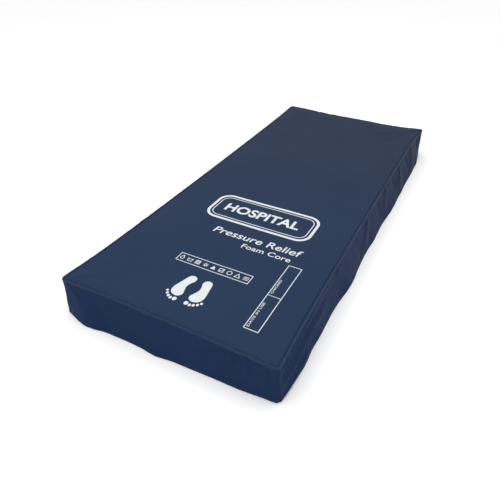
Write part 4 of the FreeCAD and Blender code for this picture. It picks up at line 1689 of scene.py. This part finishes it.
def print_badge(surface):
    """A plain rounded panel with one generic word in it."""
    mark = Mark()
    middle_x, middle_y, half_x, half_y = 0.020, -0.299, 0.236, 0.090
    x = (middle_x - half_x, middle_x + half_x)
    y = (middle_y - half_y, middle_y + half_y)
    for back, width, corner in ((0.0, 0.012, 0.050), (0.017, 0.004, 0.036)):
        line = rounded_points((x[0] + back, x[1] - back), (y[0] + back, y[1] - back), corner)
        mark.stroke(line, width, closed=True)
    mark.words("HOSPITAL", (-0.158, 0.192), (-0.326, -0.268), HEAVY)
    return mark.lay("print_badge", surface)


def print_title(surface):
    mark = Mark()
    mark.words("Pressure Relief", (-0.112, 0.275), (-0.486, -0.447), MEDIUM, lean=0.1)
    mark.words("Foam Core", (0.044, 0.251), (-0.531, -0.504), MEDIUM)
    return mark.lay("print_title", surface)


SYMBOL_HALF = 0.0105
SYMBOL_LINE = 0.0028
SYMBOL_FINE = SYMBOL_LINE * 0.8


class Symbols(Mark):
    """Plain care pictures, each drawn about a centre."""

    def line_at(self, centre, points, width=SYMBOL_LINE, closed=False):
        self.stroke(np.asarray(points, float) + centre, width, closed)

    def square(self, centre, size):
        corners = [(-size, -size), (size, -size), (size, size), (-size, size)]
        self.line_at(centre, corners, closed=True)

    def ring(self, centre, size):
        self.stroke(arc_points(centre, size, 0, 345, 24), SYMBOL_LINE, closed=True)

    def drop(self, centre):
        bowl = arc_points((0, -0.003), 0.007, 150, 390, 16)
        self.line_at(centre, np.concatenate([bowl, [(0, 0.012)]]), closed=True)

    def tub(self, centre):
        sides = [(-SYMBOL_HALF, 0.008), (-0.008, -0.009), (0.008, -0.009), (SYMBOL_HALF, 0.008)]
        self.line_at(centre, sides)
        water = [(-0.008, 0.004), (-0.003, 0.001), (0.003, 0.005), (0.008, 0.002)]
        self.line_at(centre, water, SYMBOL_FINE)

    def dryer(self, centre):
        self.square(centre, SYMBOL_HALF * 0.85)
        self.ring(centre, SYMBOL_HALF * 0.5)

    def sun(self, centre):
        self.ring(centre, SYMBOL_HALF * 0.45)
        for turn in range(0, 360, 45):
            ray = np.array([math.cos(math.radians(turn)), math.sin(math.radians(turn))])
            self.line_at(centre, [ray * SYMBOL_HALF * 0.65, ray * SYMBOL_HALF], SYMBOL_FINE)

    def triangle(self):
        return np.array([(-SYMBOL_HALF, -0.009), (SYMBOL_HALF, -0.009), (0, 0.010)])

    def solid_triangle(self, centre):
        self.outline(self.triangle() + centre)

    def crossed_square(self, centre):
        self.square(centre, SYMBOL_HALF * 0.85)
        self.line_at(centre, [(-0.007, -0.007), (0.007, 0.007)], SYMBOL_FINE)

    def circle(self, centre):
        self.ring(centre, SYMBOL_HALF * 0.9)

    def open_triangle(self, centre):
        self.line_at(centre, self.triangle(), closed=True)

    def level_lines(self, centre):
        x, y = centre
        half_line = SYMBOL_LINE / 2
        for lift in (-0.007, 0.0, 0.007):
            low, high = y + lift - half_line, y + lift + half_line
            self.bar(x - SYMBOL_HALF, low, x + SYMBOL_HALF, high)


def print_symbols(surface):
    """A framed strip of care pictures."""
    mark = Symbols()
    x, y = (-0.134, 0.171), (-0.7065, -0.6625)
    corners = [(x[0], y[0]), (x[1], y[0]), (x[1], y[1]), (x[0], y[1])]
    mark.stroke(corners, FRAME_LINE, closed=True)
    pictures = (
        mark.drop,
        mark.tub,
        mark.dryer,
        mark.sun,
        mark.solid_triangle,
        mark.crossed_square,
        mark.circle,
        mark.open_triangle,
        mark.level_lines,
    )
    step = (x[1] - x[0]) / len(pictures)
    for place, draw in enumerate(pictures):
        draw(np.array([x[0] + step * (place + 0.5), (y[0] + y[1]) / 2]))
    return mark.lay("print_symbols", surface)


# Half a pair of footprints: points of the sole, then each toe's middle and radii. The heel is at
# the origin, +X is towards the little toe and -Y towards the toes.
SOLE = [
    (0.000, 0.019), (0.014, 0.014), (0.020, 0.000), (0.023, -0.020), (0.027, -0.042),
    (0.029, -0.062), (0.025, -0.080), (0.013, -0.091), (-0.004, -0.094), (-0.018, -0.087),
    (-0.022, -0.073), (-0.014, -0.055), (-0.008, -0.038), (-0.010, -0.018), (-0.016, -0.002),
    (-0.013, 0.012),
]
TOES = [
    (-0.0150, -0.1075, 0.0080, 0.0088),
    (0.0005, -0.1105, 0.0054, 0.0066),
    (0.0130, -0.1065, 0.0051, 0.0062),
    (0.0245, -0.0990, 0.0049, 0.0058),
    (0.0340, -0.0885, 0.0047, 0.0055),
]
FOOTPRINTS = [
    # heel place, mirrored, turn in degrees
    ((-0.012, -0.776), -1, -7.0),
    ((0.050, -0.776), 1, 1.0),
]


def print_footprints(surface):
    """Two bare footprints that show which end is the foot."""
    mark = Mark()
    for (heel_x, heel_y), mirror, turn in FOOTPRINTS:
        cos, sin = math.cos(math.radians(turn)), math.sin(math.radians(turn))

        def put(points):
            points = np.asarray(points) * [mirror, 1]
            x = points[:, 0] * cos - points[:, 1] * sin
            y = points[:, 0] * sin + points[:, 1] * cos
            return np.stack([x + heel_x, y + heel_y], axis=1)

        mark.outline(put(smooth_outline(SOLE, 6)))
        for x, y, across, along in TOES:
            ring = arc_points((0, 0), 1.0, 0, 345, 20) * [across, along] + [x, y]
            mark.outline(put(ring))
    return mark.lay("print_footprints", surface)


def print_record_box(surface):
    """Two boxes to be filled in by hand, with a small generic heading each."""
    mark = Mark()
    x, divider = (0.258, 0.309), -0.722
    for low, high in ((-0.889, divider), (divider, -0.546)):
        corners = [(x[0], low), (x[1], low), (x[1], high), (x[0], high)]
        mark.stroke(corners, FRAME_LINE, closed=True)
    heading = (0.2633, 0.2715)
    mark.words("DATE IN USE", heading, (-0.880, -0.762), BOLD, upright=False)
    mark.words("CHECKED", heading, (-0.712, -0.632), BOLD, upright=False)
    return mark.lay("print_record_box", surface)


for make in (print_badge, print_title, print_symbols, print_footprints, print_record_box):
    make(cloth_surface)


# ------------------------------------------------------------------------------ the side pieces, looked up in turn

for side in SIDES:
    piece = side_pieces[side.name]


# ------------------------------------------------------------------------------ floor, light, camera


def make_stage():
    shop = Shop("studio_floor")
    place = shop.place()
    tone = shop.noise(place, 0.6, 2) * 0.01
    colour = shop.blend(tone, (0.97, 0.97, 0.97), (0.95, 0.95, 0.95))
    material = shop.surface(Base_Color=colour, Roughness=0.9, Specular_IOR_Level=0.1)
    reach = 14.0
    corners = [(-reach, -reach, 0), (reach, -reach, 0), (reach, reach, 0), (-reach, reach, 0)]
    floor = make_mesh("studio_floor", corners, [(0, 1, 2, 3)], smooth=False)
    set_material(floor, material)
    world = bpy.data.worlds.new("studio")
    bpy.context.scene.world = world
    world.use_nodes = True
    background = world.node_tree.nodes["Background"]
    background.inputs["Color"].default_value = (1, 1, 1, 1)
    background.inputs["Strength"].default_value = 1.0


def make_light(name, place, target, size, power):
    light = bpy.data.lights.new(name, "AREA")
    light.shape = "RECTANGLE"
    light.size, light.size_y = size
    light.energy = power
    lamp = bpy.data.objects.new(name, light)
    lamp.location = place
    lamp.rotation_euler = (Vector(target) - Vector(place)).to_track_quat("-Z", "Y").to_euler()
    bpy.context.scene.collection.objects.link(lamp)


def make_camera():
    azimuth, elevation = math.radians(27.67), math.radians(36.61)
    data = bpy.data.cameras.new("camera")
    data.sensor_width = 36
    data.lens = 32.36
    data.shift_x, data.shift_y = -0.0183, -0.0118
    data.clip_start, data.clip_end = 0.05, 60
    camera = bpy.data.objects.new("camera", data)
    camera.location = (0.753, -1.727, 1.197)
    back = Vector(
        (
            math.sin(azimuth) * math.cos(elevation),
            -math.cos(azimuth) * math.cos(elevation),
            math.sin(elevation),
        )
    )
    camera.rotation_mode = "QUATERNION"
    camera.rotation_quaternion = (-back).to_track_quat("-Z", "Y")
    bpy.context.scene.collection.objects.link(camera)
    bpy.context.scene.camera = camera


make_stage()
make_light("key", (-0.3, -0.5, 3.2), (0, -0.3, 0), (3.0, 3.0), 40)
make_light("side", (3.2, -0.6, 1.5), (0.4, -0.4, 0), (2.4, 1.6), 3)
make_camera()
bpy.context.scene.view_settings.view_transform = "Standard"
